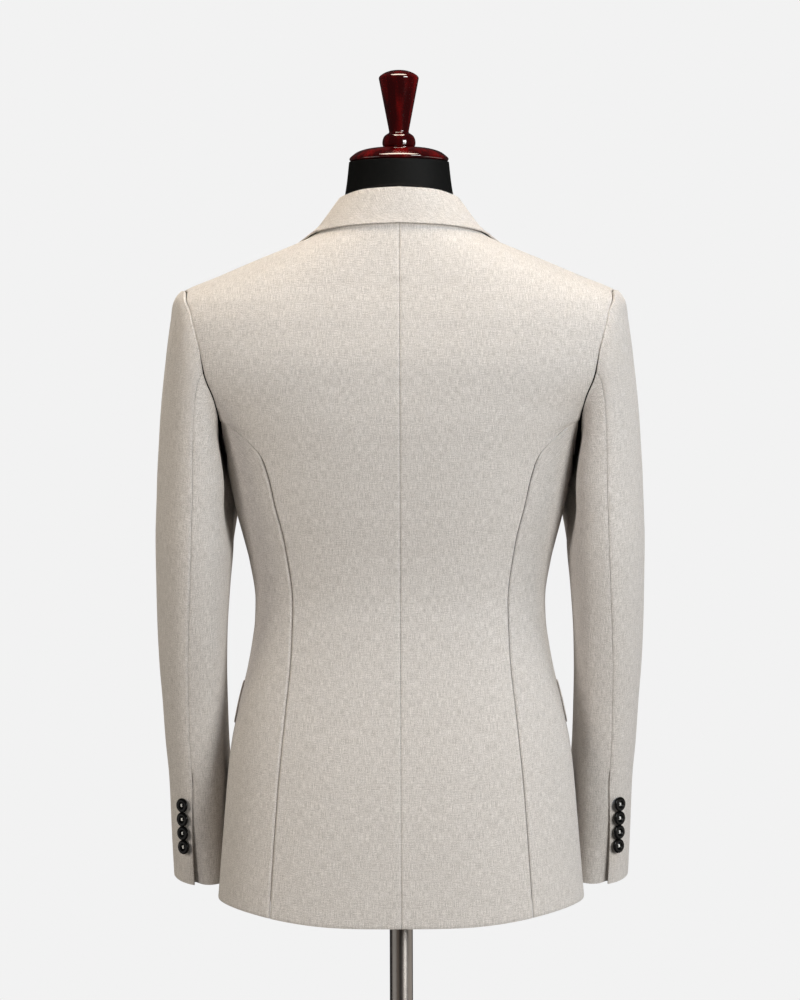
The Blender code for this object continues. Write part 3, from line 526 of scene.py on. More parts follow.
def body_point(height, turn):
    """The point of the cloth's outer face at a height and a turn."""
    half_width, back, front, centre, squareness = body_ring(height)
    radius = oval(turn, half_width, back - centre, front + centre, squareness)
    return np.stack([radius * np.sin(turn), centre + radius * np.cos(turn),
                     height + 0 * radius], axis=-1)


def unit(vectors):
    """Vectors of length 1."""
    return vectors / np.linalg.norm(vectors, axis=-1, keepdims=True)


def body_surface(height, turn, lift=0.0):
    """A point lifted off the cloth's outer face along its normal."""
    up = body_point(height + NEAR, turn) - body_point(height - NEAR, turn)
    round_it = body_point(height, turn + NEAR) - body_point(height, turn - NEAR)
    return body_point(height, turn) + unit(np.cross(up, round_it)) * np.asarray(lift)[..., None]


def turn_at(height, across, front):
    """The turn where a ring is a distance across from the middle plane."""
    half_width, back, forward, centre, squareness = body_ring(height)
    depth = (forward + centre) if front else (back - centre)
    share = np.clip(np.abs(across) / half_width, 0.0, 1.0)
    along = depth * (1 - share ** squareness) ** (1 / squareness)
    return np.arctan2(across, -along if front else along) % (2 * math.pi)


def armhole(phase, margin=0.0):
    """Height and turn of the armhole's edge: phase 0 at the shoulder tip, 90 at the back."""
    middle = (TIP + UNDERARM) / 2
    height = middle + ((TIP - UNDERARM) / 2 + margin) * np.cos(phase)
    behind = np.radians(ARMHOLE_BACK.at("reach", np.degrees(phase)))
    before = ARMHOLE_FRONT * np.sin(phase) * (1 - ARMHOLE_HOLLOW * np.cos(phase))
    reach = np.where(np.sin(phase) > 0, behind, before)
    return height, math.pi / 2 - reach - margin / ARMHOLE_DISTANCE * np.sin(phase)


def armhole_phase(height, margin=0.0):
    """The phase, on the back half, where the armhole's edge is at a height."""
    middle = (TIP + UNDERARM) / 2
    share = (height - middle) / ((TIP - UNDERARM) / 2 + margin)
    return np.arccos(np.clip(share, -1.0, 1.0))


def side_back_turn(height):
    """The side-back seam's turn at a height."""
    return turn_at(height, SIDE_BACK_SEAM.at("across", height), front=False)


def side_front_turn(height):
    """The side-front seam's turn: nearly straight down from the front of the armhole."""
    top_height, top_turn = armhole(SIDE_FRONT_PHASE, SEAM)
    return top_turn + SIDE_FRONT_SLANT * (1 - ease(SLANT_END, top_height, height))


def hem_shift(height, turn):
    """How far a point near the hem moves up, so that the hem rises to the side seams."""
    side = np.sin(turn) ** HEM_POWER
    return HEM_SIDE_RISE * side * (1 - ease(HEM, HEM + HEM_FADE, height))


def neck_shift(height, turn):
    """How far a point near the neck seam moves up towards the centre back."""
    back = np.clip(np.cos(turn), 0.0, 1.0)
    return (NECK_BACK - NECK_SIDE) * back * ease(NECK_SIDE - NECK_FADE, NECK_SIDE, height)


def mirrored(points, side):
    """Points of the wearer's left, or their mirror image for the right."""
    return points * np.array([side, 1.0, 1.0])


def distance_round(height, turn):
    """How far from the body's middle a point is, to turn an angle into a distance."""
    return np.linalg.norm(body_point(height, turn)[..., :2], axis=-1)


def seam_turn(height, turn, sign, gap=SEAM):
    """A turn moved off a seam by half the seam's gap."""
    return turn + sign * gap / 2 / distance_round(height, turn)


def seam_dip(distance, share=1.0, crisp=0.0):
    """How the cloth dips into a seam and swells over its turned-in allowance.

    A crisp seam dips deeper, with a narrow ridge beside it."""
    jacket = bpy.context.scene.jacket
    dip = jacket.seam_depth * bell(distance, jacket.seam_width)
    swell = SWELL * ease(*SWELL_NEAR, distance) * (1 - ease(*SWELL_FAR, distance))
    ridge = CRISP_RIDGE * bell(distance - CRISP_PLACE, CRISP_WIDTH)
    return (swell - dip) * share + (ridge - CRISP_DIP * dip) * crisp


def armhole_hollow(distance, share):
    """How the cloth sinks towards the lower half of the armhole's seam."""
    return SINK * share * bell(distance, SINK_WIDTH)


def side_seam_share(height):
    """How marked the side-back seam is: it is pressed nearly flat below the armhole."""
    return 1 - PRESSED * ease(*PRESSED_FROM, height) * (1 - ease(SIDE_JOIN, JOIN_ABOVE, height))


def side_seam_crisp(height):
    """How sharply that seam draws in below the armhole."""
    return 1 - ease(*CRISP_BELOW, height)


# ---------------------------------------------------------------- making objects
def grid_lines(length, fine=FINE, coarse=COARSE):
    """Places from 0 to 1 of a grid's lines: close at both ends, and coarser between."""
    steps = [fine]
    while steps[-1] * GROWTH < coarse:
        steps.append(steps[-1] * GROWTH)
    edge = np.cumsum(steps)
    count = max(1, round((length - 2 * edge[-1]) / coarse))
    middle = np.linspace(edge[-1], length - edge[-1], count + 1)
    return np.concatenate([[0], edge[:-1], middle, length - edge[-2::-1], [length]]) / length


def spread_rows(rows, between):
    """Row heights with as many more rows between each two."""
    whole = np.linspace(0, len(rows) - 1, (len(rows) - 1) * between + 1)
    return np.interp(whole, np.arange(len(rows)), rows)


def add_object(name, mesh, materials):
    """Puts a smooth mesh into the scene with its materials."""
    thing = bpy.data.objects.new(name, mesh)
    for material in materials:
        mesh.materials.append(material)
    mesh.shade_smooth()
    bpy.context.scene.collection.objects.link(thing)
    return thing


def finish_piece(thing, slot, *nodes):
    """Ties a finished piece to the CAD body and hides the nodes it stands for; its slot is not
    used.
    """
    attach(thing, "root")
    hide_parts(*nodes)


def mesh_from(name, bm):
    """A new mesh of what a bmesh holds, which is freed."""
    mesh = bpy.data.meshes.new(name)
    bm.to_mesh(mesh)
    bm.free()
    return mesh


def mapped_grid(columns, rows, place, grain=0.0):
    """A bmesh grid with its points on place(column, row), and a flat layout of it.

    The grain is the share of the columns where the one that is laid out straight comes."""
    bm = bmesh.new()
    bmesh.ops.create_grid(bm, x_segments=len(columns) - 1, y_segments=len(rows) - 1, size=0.5)
    spots = np.array([vert.co[:2] for vert in bm.verts]) + 0.5
    i = np.rint(spots[:, 0] * (len(columns) - 1)).astype(int)
    j = np.rint(spots[:, 1] * (len(rows) - 1)).astype(int)
    points = place(np.asarray(columns)[i], np.asarray(rows)[j])
    for vert, point in zip(bm.verts, points):
        vert.co = point
    net = np.zeros((len(rows), len(columns), 3))
    net[j, i] = points
    across = np.cumsum(np.linalg.norm(np.diff(net, axis=1, prepend=net[:, :1]), axis=2), axis=1)
    across -= across[:, [round(grain * (len(columns) - 1))]]
    steps, along = np.diff(net, axis=0, prepend=net[:1]), unit(np.gradient(net, axis=1))
    steps -= np.sum(steps * along, axis=2, keepdims=True) * along
    up = np.cumsum(np.linalg.norm(steps, axis=2), axis=0)
    return bm, np.stack([across[j, i], up[j, i]], axis=-1)


def lay_flat(mesh, layout):
    """Writes the flat layout, in metres, as the mesh's UV map."""
    corners = np.zeros(len(mesh.loops), dtype=np.int32)
    mesh.loops.foreach_get("vertex_index", corners)
    layer = mesh.uv_layers.new(name="Weave")
    layer.data.foreach_set("uv", layout[corners].astype(np.float32).ravel())


def woven(name, columns, rows, place, flip=False, offset=-1.0, wall=None, grain=0.0):
    """A wall of cloth, lined inside, with turned edges."""
    jacket = bpy.context.scene.jacket
    bm, layout = mapped_grid(columns, rows, place, grain)
    if flip:
        bmesh.ops.reverse_faces(bm, faces=bm.faces)
    mesh = mesh_from(name, bm)
    lay_flat(mesh, layout)
    thing = add_object(name, mesh, [cloth_material(), lining_material()])
    solidify = thing.modifiers.new("Wall", "SOLIDIFY")
    solidify.thickness = wall or jacket.wall
    solidify.offset = offset
    solidify.material_offset = 1
    bevel = thing.modifiers.new("Turned edges", "BEVEL")
    bevel.width = jacket.edge_round
    bevel.segments = 2
    bevel.limit_method = "ANGLE"
    bevel.angle_limit = EDGE_ANGLE
    return thing


def make_sheet(name, kind, columns, rows, place, held, rests_on, **how):
    """A finished piece of cloth."""
    thing = woven(name, columns, rows, place, **how)
    finish_piece(thing, "cloth", name)


def turned(name, outline, materials, steps=96):
    """A solid of revolution from (radius, height) rows, top to bottom."""
    bm = bmesh.new()
    verts = [bm.verts.new((radius, 0.0, height)) for radius, height in outline]
    edges = [bm.edges.new(pair) for pair in zip(verts, verts[1:])]
    bmesh.ops.spin(bm, geom=verts + edges, cent=(0, 0, 0), axis=(0, 0, 1),
                   angle=2 * math.pi, steps=steps, use_merge=True, use_duplicate=False)
    bmesh.ops.remove_doubles(bm, verts=bm.verts, dist=1e-6)
    bmesh.ops.recalc_face_normals(bm, faces=bm.faces)
    return add_object(name, mesh_from(name, bm), materials)


def arc(centre, radius, start, end, points):
    """(radius, height) rows along an arc; angles in degrees from straight out."""
    angles = [math.radians(blend(start, end, i / (points - 1))) for i in range(points)]
    return [(centre[0] + radius * math.cos(a), centre[1] + radius * math.sin(a))
            for a in angles]


def smoothed(rows, between=BETWEEN):
    """More points between the rows, on a curve that passes through them."""
    rows = np.asarray(rows, dtype=float)
    padded = np.concatenate([2 * rows[:1] - rows[1:2], rows, 2 * rows[-1:] - rows[-2:-1]])
    chord = np.sqrt(np.linalg.norm(np.diff(padded, axis=0), axis=1))
    knots = np.concatenate([[0], np.cumsum(np.maximum(chord, 1e-9))])
    found = []
    for k in range(1, len(padded) - 2):
        t0, t1, t2, t3 = knots[k - 1:k + 3]
        p0, p1, p2, p3 = padded[k - 1:k + 3]
        for t in np.linspace(t1, t2, between, endpoint=False):
            a1 = blend(p0, p1, (t - t0) / (t1 - t0))
            a2 = blend(p1, p2, (t - t1) / (t2 - t1))
            a3 = blend(p2, p3, (t - t2) / (t3 - t2))
            b1, b2 = blend(a1, a2, (t - t0) / (t2 - t0)), blend(a2, a3, (t - t1) / (t3 - t1))
            found.append(blend(b1, b2, (t - t1) / (t2 - t1)))
    return np.array(found + [rows[-1]])


# ---------------------------------------------------------------- shader building
class Graph:
    """Adds linked nodes to a node tree."""

    def __init__(self, tree):
        self.tree = tree

    def node(self, kind, inputs=None, **settings):
        """A shader node with its settings, and its inputs set or linked."""
        made = self.tree.nodes.new("ShaderNode" + kind)
        for key, value in settings.items():
            setattr(made, key, value)
        for key, value in (inputs or {}).items():
            self.feed(value, made.inputs[key])
        return made

    def feed(self, value, socket):
        """Sets a socket, or links it to another node's output."""
        if isinstance(value, bpy.types.NodeSocket):
            self.tree.links.new(value, socket)
        else:
            socket.default_value = value

    def math(self, operation, *values):
        """A Math node's output."""
        return self.node("Math", dict(enumerate(values)), operation=operation).outputs[0]

    def stretched(self, place, scale):
        """A place with each axis multiplied."""
        made = self.node("VectorMath", {0: place, 1: scale}, operation="MULTIPLY")
        return made.outputs[0]

    def noise(self, place, scale, detail=2.0):
        """Noise from about 0 to 1 at a place."""
        made = self.node("TexNoise", {"Vector": place, "Scale": scale, "Detail": detail})
        return made.outputs["Fac"]

    def between(self, low, high, part):
        """A colour between two."""
        made = self.node("Mix", data_type="RGBA")
        self.feed(part, made.inputs[0])
        self.feed(low, made.inputs[6])
        self.feed(high, made.inputs[7])
        return made.outputs[2]

    def ranged(self, value, low, high):
        """A value from 0 to 1, moved to a range."""
        return self.node("MapRange", {"Value": value, "To Min": low, "To Max": high}).outputs[0]


def node_group(name, inputs, outputs):
    """A new node group: its tree and graph, and its named inputs and outputs."""
    tree = bpy.data.node_groups.new(name, "ShaderNodeTree")
    for socket, kind in inputs:
        tree.interface.new_socket(name=socket, in_out="INPUT", socket_type="NodeSocket" + kind)
    for socket, kind in outputs:
        tree.interface.new_socket(name=socket, in_out="OUTPUT", socket_type="NodeSocket" + kind)
    given = tree.nodes.new("NodeGroupInput")
    wanted = tree.nodes.new("NodeGroupOutput")
    return tree, Graph(tree), given.outputs, wanted.inputs


def weave_group():
    """Plain-woven cloth of mixed fibres, with thick places in its yarns."""
    name = "Mixed Weave"
    if name in bpy.data.node_groups:
        return bpy.data.node_groups[name]
    along = 0.07  # a yarn changes this much more slowly along its length than across
    tree, graph, given, wanted = node_group(
        name,
        (("Place", "Vector"), ("Yarn", "Float"), ("Dark", "Color"), ("Light", "Color"),
         ("Fibre", "Float"), ("Slub", "Float"), ("Cloud", "Float")),
        (("Color", "Color"), ("Height", "Float"), ("Roughness", "Float")))
    yarns = graph.node("VectorMath", {0: given["Place"], "Scale": graph.math(
        "DIVIDE", 1.0, given["Yarn"])}, operation="SCALE").outputs[0]
    split = graph.node("SeparateXYZ", {0: yarns}).outputs
    warp = graph.noise(graph.stretched(yarns, (1.0, along, 1.0)), 1.0)
    weft = graph.noise(graph.stretched(yarns, (along, 1.0, 1.0)), 1.0)
    waves = [graph.math("SINE", graph.math("MULTIPLY", split[axis], math.pi)) for axis in (0, 1)]
    over = graph.ranged(graph.math("MULTIPLY", *waves), 0.0, 1.0)
    crowns = [graph.math("ABSOLUTE", wave) for wave in waves]

    def crossed(first, second):
        """The warp's value where the warp is on top, and else the weft's."""
        return graph.math("ADD", first, graph.math(
            "MULTIPLY", over, graph.math("SUBTRACT", second, first)))

    def centred(value, amount):
        """A value from 0 to 1, moved to either side of 0."""
        return graph.math("MULTIPLY", graph.math("SUBTRACT", value, 0.5), amount)

    # Slubs are thick places, long along a yarn and short across it.  Mottle is about as
    # fine as the yarns, and clouds are broad.
    slub_up = graph.noise(graph.stretched(yarns, (0.80, 0.16, 1.0)), 1.0, 1.0)
    slub_across = graph.noise(graph.stretched(yarns, (0.09, 0.80, 1.0)), 1.0, 1.0)
    mottle = graph.noise(yarns, 0.75, 2.0)
    cloud = graph.noise(given["Place"], 22.0, 3.0)
    slubs = graph.math("ADD", centred(slub_up, 0.5), centred(slub_across, 1.6))
    total = graph.math("ADD", 0.5, centred(crossed(warp, weft), given["Fibre"]))
    for part, amount in ((slubs, given["Slub"]), (centred(mottle, 1.0), given["Fibre"]),
                         (centred(cloud, 1.0), given["Cloud"])):
        total = graph.math("ADD", total, graph.math("MULTIPLY", part, amount))
    share = graph.math("MINIMUM", graph.math("MAXIMUM", total, 0.0), 1.0)
    graph.feed(graph.between(given["Dark"], given["Light"], share), wanted["Color"])
    relief = graph.math("ADD", crossed(*crowns), graph.math("MULTIPLY", slubs, 1.6))
    graph.feed(graph.math("ADD", relief, centred(mottle, 1.2)), wanted["Height"])
    graph.feed(graph.ranged(mottle, 0.98, 0.80), wanted["Roughness"])
    return tree


def handled_group():
    """Uneven polish, as fingers and dusters leave it."""
    name = "Uneven Polish"
    if name in bpy.data.node_groups:
        return bpy.data.node_groups[name]
    tree, graph, given, wanted = node_group(
        name, (("Place", "Vector"), ("Size", "Float"), ("Smooth", "Float"), ("Dull", "Float")),
        (("Roughness", "Float"), ("Height", "Float")))
    scale = graph.math("DIVIDE", 1.0, given["Size"])
    coarse, fine = (graph.noise(given["Place"], factor, detail) for factor, detail in (
        (scale, 3.0), (graph.math("MULTIPLY", scale, 9.0), 2.0)))
    mixed = graph.math("MULTIPLY", coarse, fine)
    spread = graph.node("MapRange", {"Value": mixed, "From Min": 0.1, "From Max": 0.45,
                                     "To Min": given["Smooth"], "To Max": given["Dull"]})
    graph.feed(spread.outputs[0], wanted["Roughness"])
    graph.feed(coarse, wanted["Height"])
    return tree


def new_material(name):
    """A new material, its graph and its shader's inputs."""
    material = bpy.data.materials.new(name)
    material.use_nodes = True
    return material, Graph(material.node_tree), material.node_tree.nodes["Principled BSDF"].inputs


def opaque(colour, share=1.0):
    """A colour made darker or paler, with its alpha."""
    return (*(share * part for part in colour), 1.0)


def set_sockets(shader, values):
    """Sets a shader's named inputs."""
    for key, value in values.items():
        shader[key].default_value = value


def grouped(graph, group, inputs):
    """A node group placed in a material with its own values."""
    made = graph.tree.nodes.new("ShaderNodeGroup")
    made.node_tree = group
    for key, value in inputs.items():
        graph.feed(value, made.inputs[key])
    return made.outputs


def woven_material(name, dark, light, yarn, fibre, slub, cloud, relief, sockets, gloss=None):
    """A woven or knitted cloth that follows the piece's flat layout."""
    if name in bpy.data.materials:
        return bpy.data.materials[name]
    material, graph, shader = new_material(name)
    layout = graph.node("UVMap", uv_map="Weave").outputs[0]
    weave = grouped(graph, weave_group(), {
        "Place": layout, "Yarn": yarn, "Dark": opaque(dark), "Light": opaque(light),
        "Fibre": fibre, "Slub": slub, "Cloud": cloud})
    bump = graph.node("Bump", {"Height": weave["Height"], "Strength": relief,
                               "Distance": yarn * 0.5})
    graph.feed(weave["Color"], shader["Base Color"])
    graph.feed(weave["Roughness"] if gloss is None else gloss, shader["Roughness"])
    graph.feed(bump.outputs[0], shader["Normal"])
    set_sockets(shader, sockets)
    return material


def cloth_material():
    """Fine woollen cloth of oatmeal and stone fibres."""
    jacket = bpy.context.scene.jacket
    return woven_material("Melange cloth", jacket.dark_yarn, jacket.light_yarn, jacket.yarn,
                          fibre=2.0, slub=0.45, cloud=0.08, relief=0.6,
                          sockets={"Sheen Weight": 0.18, "Sheen Roughness": 0.45})


def lining_material():
    """Satin lining."""
    jacket = bpy.context.scene.jacket
    dark = [0.85 * part for part in jacket.lining]
    return woven_material("Satin lining", dark, jacket.lining, 0.0003,
                          fibre=0.5, slub=0.2, cloud=0.2, relief=0.15, gloss=0.38,
                          sockets={"Specular IOR Level": 0.45})


def jersey_material():
    """Stretch jersey over the form."""
    jersey = bpy.context.scene.form.jersey
    light = [1.8 * part for part in jersey]
    return woven_material("Black jersey", jersey, light, 0.0008,
                          fibre=0.8, slub=0.15, cloud=0.3, relief=0.25, gloss=0.62,
                          sockets={"Specular IOR Level": 0.14})


def polished(graph, shader, place, size, smooth, dull):
    """Gives a hard material an uneven polish."""
    polish = grouped(graph, handled_group(), {"Place": place, "Size": size,
                                              "Smooth": smooth, "Dull": dull})
    graph.feed(polish["Roughness"], shader["Roughness"])


def streaked_material(name, low, high, stretch, polish, sockets):
    """A hard material with streaks of two colours and an uneven polish."""
    if name in bpy.data.materials:
        return bpy.data.materials[name]
    material, graph, shader = new_material(name)
    place = graph.node("TexCoord").outputs["Object"]
    streaks = graph.noise(graph.stretched(place, stretch), 1.0, 3.0)
    graph.feed(graph.between(low, high, streaks), shader["Base Color"])
    polished(graph, shader, place, *polish)
    set_sockets(shader, sockets)
    return material


def button_material():
    """Polished dark horn."""
    colour = bpy.context.scene.jacket.button
    return streaked_material("Polished horn", opaque(colour), opaque(colour, 2.5),
                             stretch=(900.0, 900.0, 180.0), polish=(0.004, 0.05, 0.11),
                             sockets={"Specular IOR Level": 0.2})


def chrome_material():
    """Chrome-plated steel."""
    colour = bpy.context.scene.form.chrome
    return streaked_material("Chrome plate", opaque(colour, 0.85), opaque(colour),
                             stretch=(60.0, 60.0, 9.0), polish=(0.05, 0.27, 0.33),
                             sockets={"Metallic": 1.0})


def thread_material():
    """Twisted button thread."""
    name = "Button thread"
    if name in bpy.data.materials:
        return bpy.data.materials[name]
    material, graph, shader = new_material(name)
    place = graph.node("TexCoord").outputs["Object"]
    twist = graph.noise(place, 5000.0, 1.0)
    colour = bpy.context.scene.jacket.thread
    graph.feed(graph.between(opaque(colour, 0.7), opaque(colour), twist), shader["Base Color"])
    shader["Roughness"].default_value = 0.6
    return material


def wood_material():
    """Red-stained wood under clear lacquer."""
    name = "Lacquered mahogany"
    if name in bpy.data.materials:
        return bpy.data.materials[name]
    form = bpy.context.scene.form
    material, graph, shader = new_material(name)
    place = graph.node("TexCoord").outputs["Object"]
    grain = graph.noise(graph.stretched(place, (240.0, 240.0, 7.0)), 1.0, 4.0)
    bands = graph.noise(graph.stretched(place, (75.0, 75.0, 4.0)), 1.0, 1.0)
    pores = graph.noise(graph.stretched(place, (2600.0, 2600.0, 90.0)), 1.0, 1.0)
    figure = graph.math("ADD", graph.math("MULTIPLY", grain, 0.4),
                        graph.math("MULTIPLY", bands, 1.3))
    share = graph.node("MapRange", {"Value": figure, "From Min": 0.70, "From Max": 1.05})
    colour = graph.between(opaque(form.wood_dark), opaque(form.wood_red), share.outputs[0])
    deep = graph.node("MapRange", {"Value": pores, "From Min": 0.30, "From Max": 0.45})
    graph.feed(graph.between(opaque(form.wood_dark), colour, deep.outputs[0]),
               shader["Base Color"])
    polished(graph, shader, place, size=0.02, smooth=0.06, dull=0.16)
    set_sockets(shader, {"Coat Weight": 1.0, "Coat Roughness": 0.03, "Coat IOR": 1.55})
    return material


# ---------------------------------------------------------------- body panels
def back_edge_turn(height):
    """Outer edge of the back: side-back seam, then armhole, then shoulder seam."""
    seam = side_back_turn(np.minimum(height, SIDE_JOIN))
    edge = armhole(armhole_phase(height, SEAM), SEAM)[1]
    turn = np.where(height <= SIDE_JOIN, np.minimum(seam, edge), edge)
    return np.where(height >= TIP, math.pi / 2, turn)


def hem_dip(rise):
    """The hem's lower edge rolls in a little."""
    return -HEM_ROLL * bell(rise, HEM_ROLL_WIDTH)


def fan(u, height, inner, edge):
    """Turns of a panel's columns: its outermost ones alone follow the shoulder tip's corner."""
    outer = edge(height)
    calm = blend(edge(np.minimum(height, CALM)), math.pi / 2, ease(CALM, TIP, height))
    calm = np.where(height < CALM, outer, calm)
    return blend(inner, calm, u) + (outer - calm) * u ** FAN_POWER


def make_back(side, suffix):
    """One half of the back, from the centre seam to the side, armhole and shoulder."""
    def edge(height):
        tight = (1 - side_seam_crisp(height)) * (height < SIDE_JOIN)
        return seam_turn(height, back_edge_turn(height), -1, blend(SEAM, TIGHT_SEAM, tight))

    def place(u, height):
        inner = seam_turn(height, 0 * height, 1)
        outer = edge(height)
        turn = fan(u, height, inner, edge)
        reach = distance_round(height, turn)
        away = (outer - turn) * reach
        low = (BACK_SINK * ease(JOIN_ABOVE, SIDE_JOIN, height)
               * ease(JOIN_BELOW, SIDE_JOIN, height))
        lift = (seam_dip((turn - inner) * reach) + hem_dip(height - HEM)
                + seam_dip(away, side_seam_share(height), side_seam_crisp(height))
                - armhole_hollow(away, low))
        height = height + hem_shift(height, turn) + neck_shift(height, turn)
        return mirrored(body_surface(height, turn, lift), side)

    rows = np.unique(np.concatenate([spread_rows(BACK_ROWS, BACK_BETWEEN), HEM_ROWS]))
    make_sheet("back_" + suffix, "back", grid_lines(BACK_SPAN), rows, place,
               "draped", ["form"], flip=side > 0)


def make_side(side, suffix):
    """The side panel, whose top edge is the bottom of the armhole."""
    front_top = armhole(SIDE_FRONT_PHASE, SEAM)[0]
    start = armhole_phase(SIDE_JOIN, SEAM)

    def place(u, share):
        top_height, top_turn = armhole(blend(start, SIDE_FRONT_PHASE, u), SEAM)
        height = blend(HEM, top_height, share)
        back_height = blend(HEM, SIDE_JOIN, share)
        front_height = blend(HEM, front_top, share)
        gap = blend(TIGHT_SEAM, SEAM, side_seam_crisp(back_height))
        inner = seam_turn(back_height, side_back_turn(back_height), 1, gap)
        outer = seam_turn(front_height, side_front_turn(front_height), -1)
        straight = blend(side_back_turn(SIDE_JOIN), side_front_turn(front_top), u)
        turn = blend(inner, outer, u) + (top_turn - straight) * share ** SIDE_POWER
        reach = (outer - inner) * distance_round(height, turn)
        lift = (seam_dip(u * reach, side_seam_share(height), side_seam_crisp(height))
                + seam_dip((1 - u) * reach)
                + hem_dip(height - HEM) - armhole_hollow(top_height - height, 1.0))
        height = height + hem_shift(height, turn)
        return mirrored(body_surface(height, turn, lift), side)

    make_sheet("side_" + suffix, "side", grid_lines(SIDE_SPAN), grid_lines(SIDE_LENGTH), place,
               "draped", ["form"], flip=side > 0)


def wrap_lift(side, height, across):
    """How far the left front stands off where it laps over the right front."""
    if side < 0:
        return 0 * height
    near = 1 - ease(*WRAP_ACROSS, across)
    wall = bpy.context.scene.jacket.wall
    return (wall + LAY) * near * (1 - ease(*WRAP_HEIGHTS, height))


def front_turn(height, across):
    """The front's turn at a height and a distance across."""
    return turn_at(height, across, front=True)


def front_surface(side, height, turn, lift=0.0):
    """A point on or above one front, with the lap of the left over the right."""
    across = body_point(height, turn)[..., 0]
    total = wrap_lift(side, height, across) + lift
    return mirrored(body_surface(height, turn, total), side)


def make_front(side, suffix):
    """A front panel: side seam, armhole and shoulder outside, free edge inside."""
    join_height = armhole(SIDE_FRONT_PHASE, SEAM)[0]

    def edge(height):
        around = armhole(2 * math.pi - armhole_phase(height, SEAM), SEAM)[1]
        turn = np.where(height <= join_height, side_front_turn(height), around)
        return seam_turn(height, np.where(height >= TIP, math.pi / 2, turn), 1)

    def place(u, height):
        outer = edge(height)
        inner = front_turn(height, FRONT_EDGE.at("across", height))
        turn = fan(1 - u, height, inner, edge)
        lift = seam_dip((turn - outer) * distance_round(height, turn))
        height = height + hem_shift(height, turn)
        return front_surface(side, height, turn, lift)

    make_sheet("front_" + suffix, "front", grid_lines(FRONT_SPAN),
               spread_rows(FRONT_ROWS, FRONT_BETWEEN), place, "draped", ["form"], flip=side > 0)


def lapel_roll(u, over):
    """Shift and lift round the lapel's rolled edge, which ends at a height over the front."""
    wall = bpy.context.scene.jacket.wall
    part = np.clip(u / ROLL_SHARE, 0.0, 1.0)
    rise = np.clip(part / ROLL_RISE, 0.0, 1.0)
    angle = math.pi - math.pi / 2 * np.clip((part - ROLL_RISE) / (1 - ROLL_RISE), 0.0, 1.0)
    shift = LAPEL_ROLL * np.cos(angle) + ROLL_OUT
    lift = np.where(part < ROLL_RISE, blend(-wall, over - LAPEL_ROLL, rise),
                    over - LAPEL_ROLL + LAPEL_ROLL * np.sin(angle))
    return shift, lift


def make_lapel(side, suffix):
    """A peaked lapel: its rolled edge, and the part that lies on the front."""
    wall = bpy.context.scene.jacket.wall
    bottom, top = LAPEL.columns["height"][[0, -1]]

    def place(u, v):
        height = blend(bottom, top, v)
        flat = np.clip((u - ROLL_SHARE) / (1 - ROLL_SHARE), 0.0, 1.0)
        shift, lift = lapel_roll(u, wall + LOOSE)
        across = blend(LAPEL.at("fold", height), LAPEL.at("edge", height), flat) + shift * (
            flat <= 0)
        notch = np.where(flat < NOTCH_PLACE, flat / NOTCH_PLACE, (1 - flat) / (1 - NOTCH_PLACE))
        lowered = height - PEAK_RISE * notch * v ** PEAK_POWER
        turn = front_turn(lowered, across)
        stand = (PEAK_STAND * flat * v ** STAND_POWER
                 + LAPEL_BELLY * np.sin(math.pi * flat) * v
                 + LAPEL_CURL * ease(CURL_FROM, 1.0, flat) * ease(0.0, CURL_FADE, v))
        return front_surface(side, lowered, turn, lift + stand)

    columns = np.concatenate([np.linspace(0, ROLL_SHARE, ROLL_COLUMNS)[:-1],
                              blend(ROLL_SHARE, 1.0, grid_lines(LAPEL_SPAN, LAPEL_FINE))])
    make_sheet("lapel_" + suffix, "lapel", columns, grid_lines(LAPEL_LENGTH), place,
               "folded", ["front_" + suffix], flip=side < 0)


def make_flap(side, suffix):
    """A pocket flap with rounded lower corners, over the side-front seam."""
    def place(u, v):
        turn = blend(*FLAP_TURNS, u)
        corner = np.abs(2 * u - 1) ** CORNER_POWER
        bottom = FLAP_BOTTOM + FLAP_CORNER * corner
        height = blend(bottom, FLAP_TOP, v) - FLAP_SLANT * u
        lift = FLAP_WALL + FLAP_LAY + FLAP_STAND * ease(1.0, FLAP_HINGE, v)
        return mirrored(body_surface(height, turn, lift), side)

    make_sheet("pocket_flap_" + suffix, "pocket_flap", grid_lines(FLAP_SPAN, FLAP_FINE),
               grid_lines(FLAP_LENGTH, FLAP_FINE), place, "hung", ["front_" + suffix],
               flip=side > 0, wall=FLAP_WALL)


# ---------------------------------------------------------------- collar
def collar_section(turn_degrees):
    """Rows of points across the collar, from its foot over the fold to its edge."""
    wall = bpy.context.scene.jacket.wall

    def read(column):
        return COLLAR.at(column, np.abs(turn_degrees))

    def spot(radius, height):
        angle = np.radians(turn_degrees)
        return np.stack([radius * np.sin(angle), radius * np.cos(angle), height], axis=-1)

    radius, top = read("fold_radius"), read("fold_height")
    foot = body_surface(read("foot_height"), np.radians(turn_degrees), -wall / 2)
    inner = spot(radius - COLLAR_FOLD_ROUND, top - COLLAR_FOLD_DROP)
    crest = spot(radius, top)
    outer = spot(radius + COLLAR_FOLD_ROUND, top - COLLAR_FOLD_DROP)
    falls = []
    for share, lift in COLLAR_FALL:
        height = blend(read("foot_height"), read("edge_height"), share)
        turn = np.radians(blend(np.abs(turn_degrees), read("edge_turn"), share))
        point = body_surface(height, turn, wall / 2 + lift)
        point[:, 0] *= np.where(turn_degrees < 0, -1, 1)
        falls.append(point)
    return np.stack([foot, blend(foot, inner, 0.5), inner, crest, outer, *falls], axis=0)


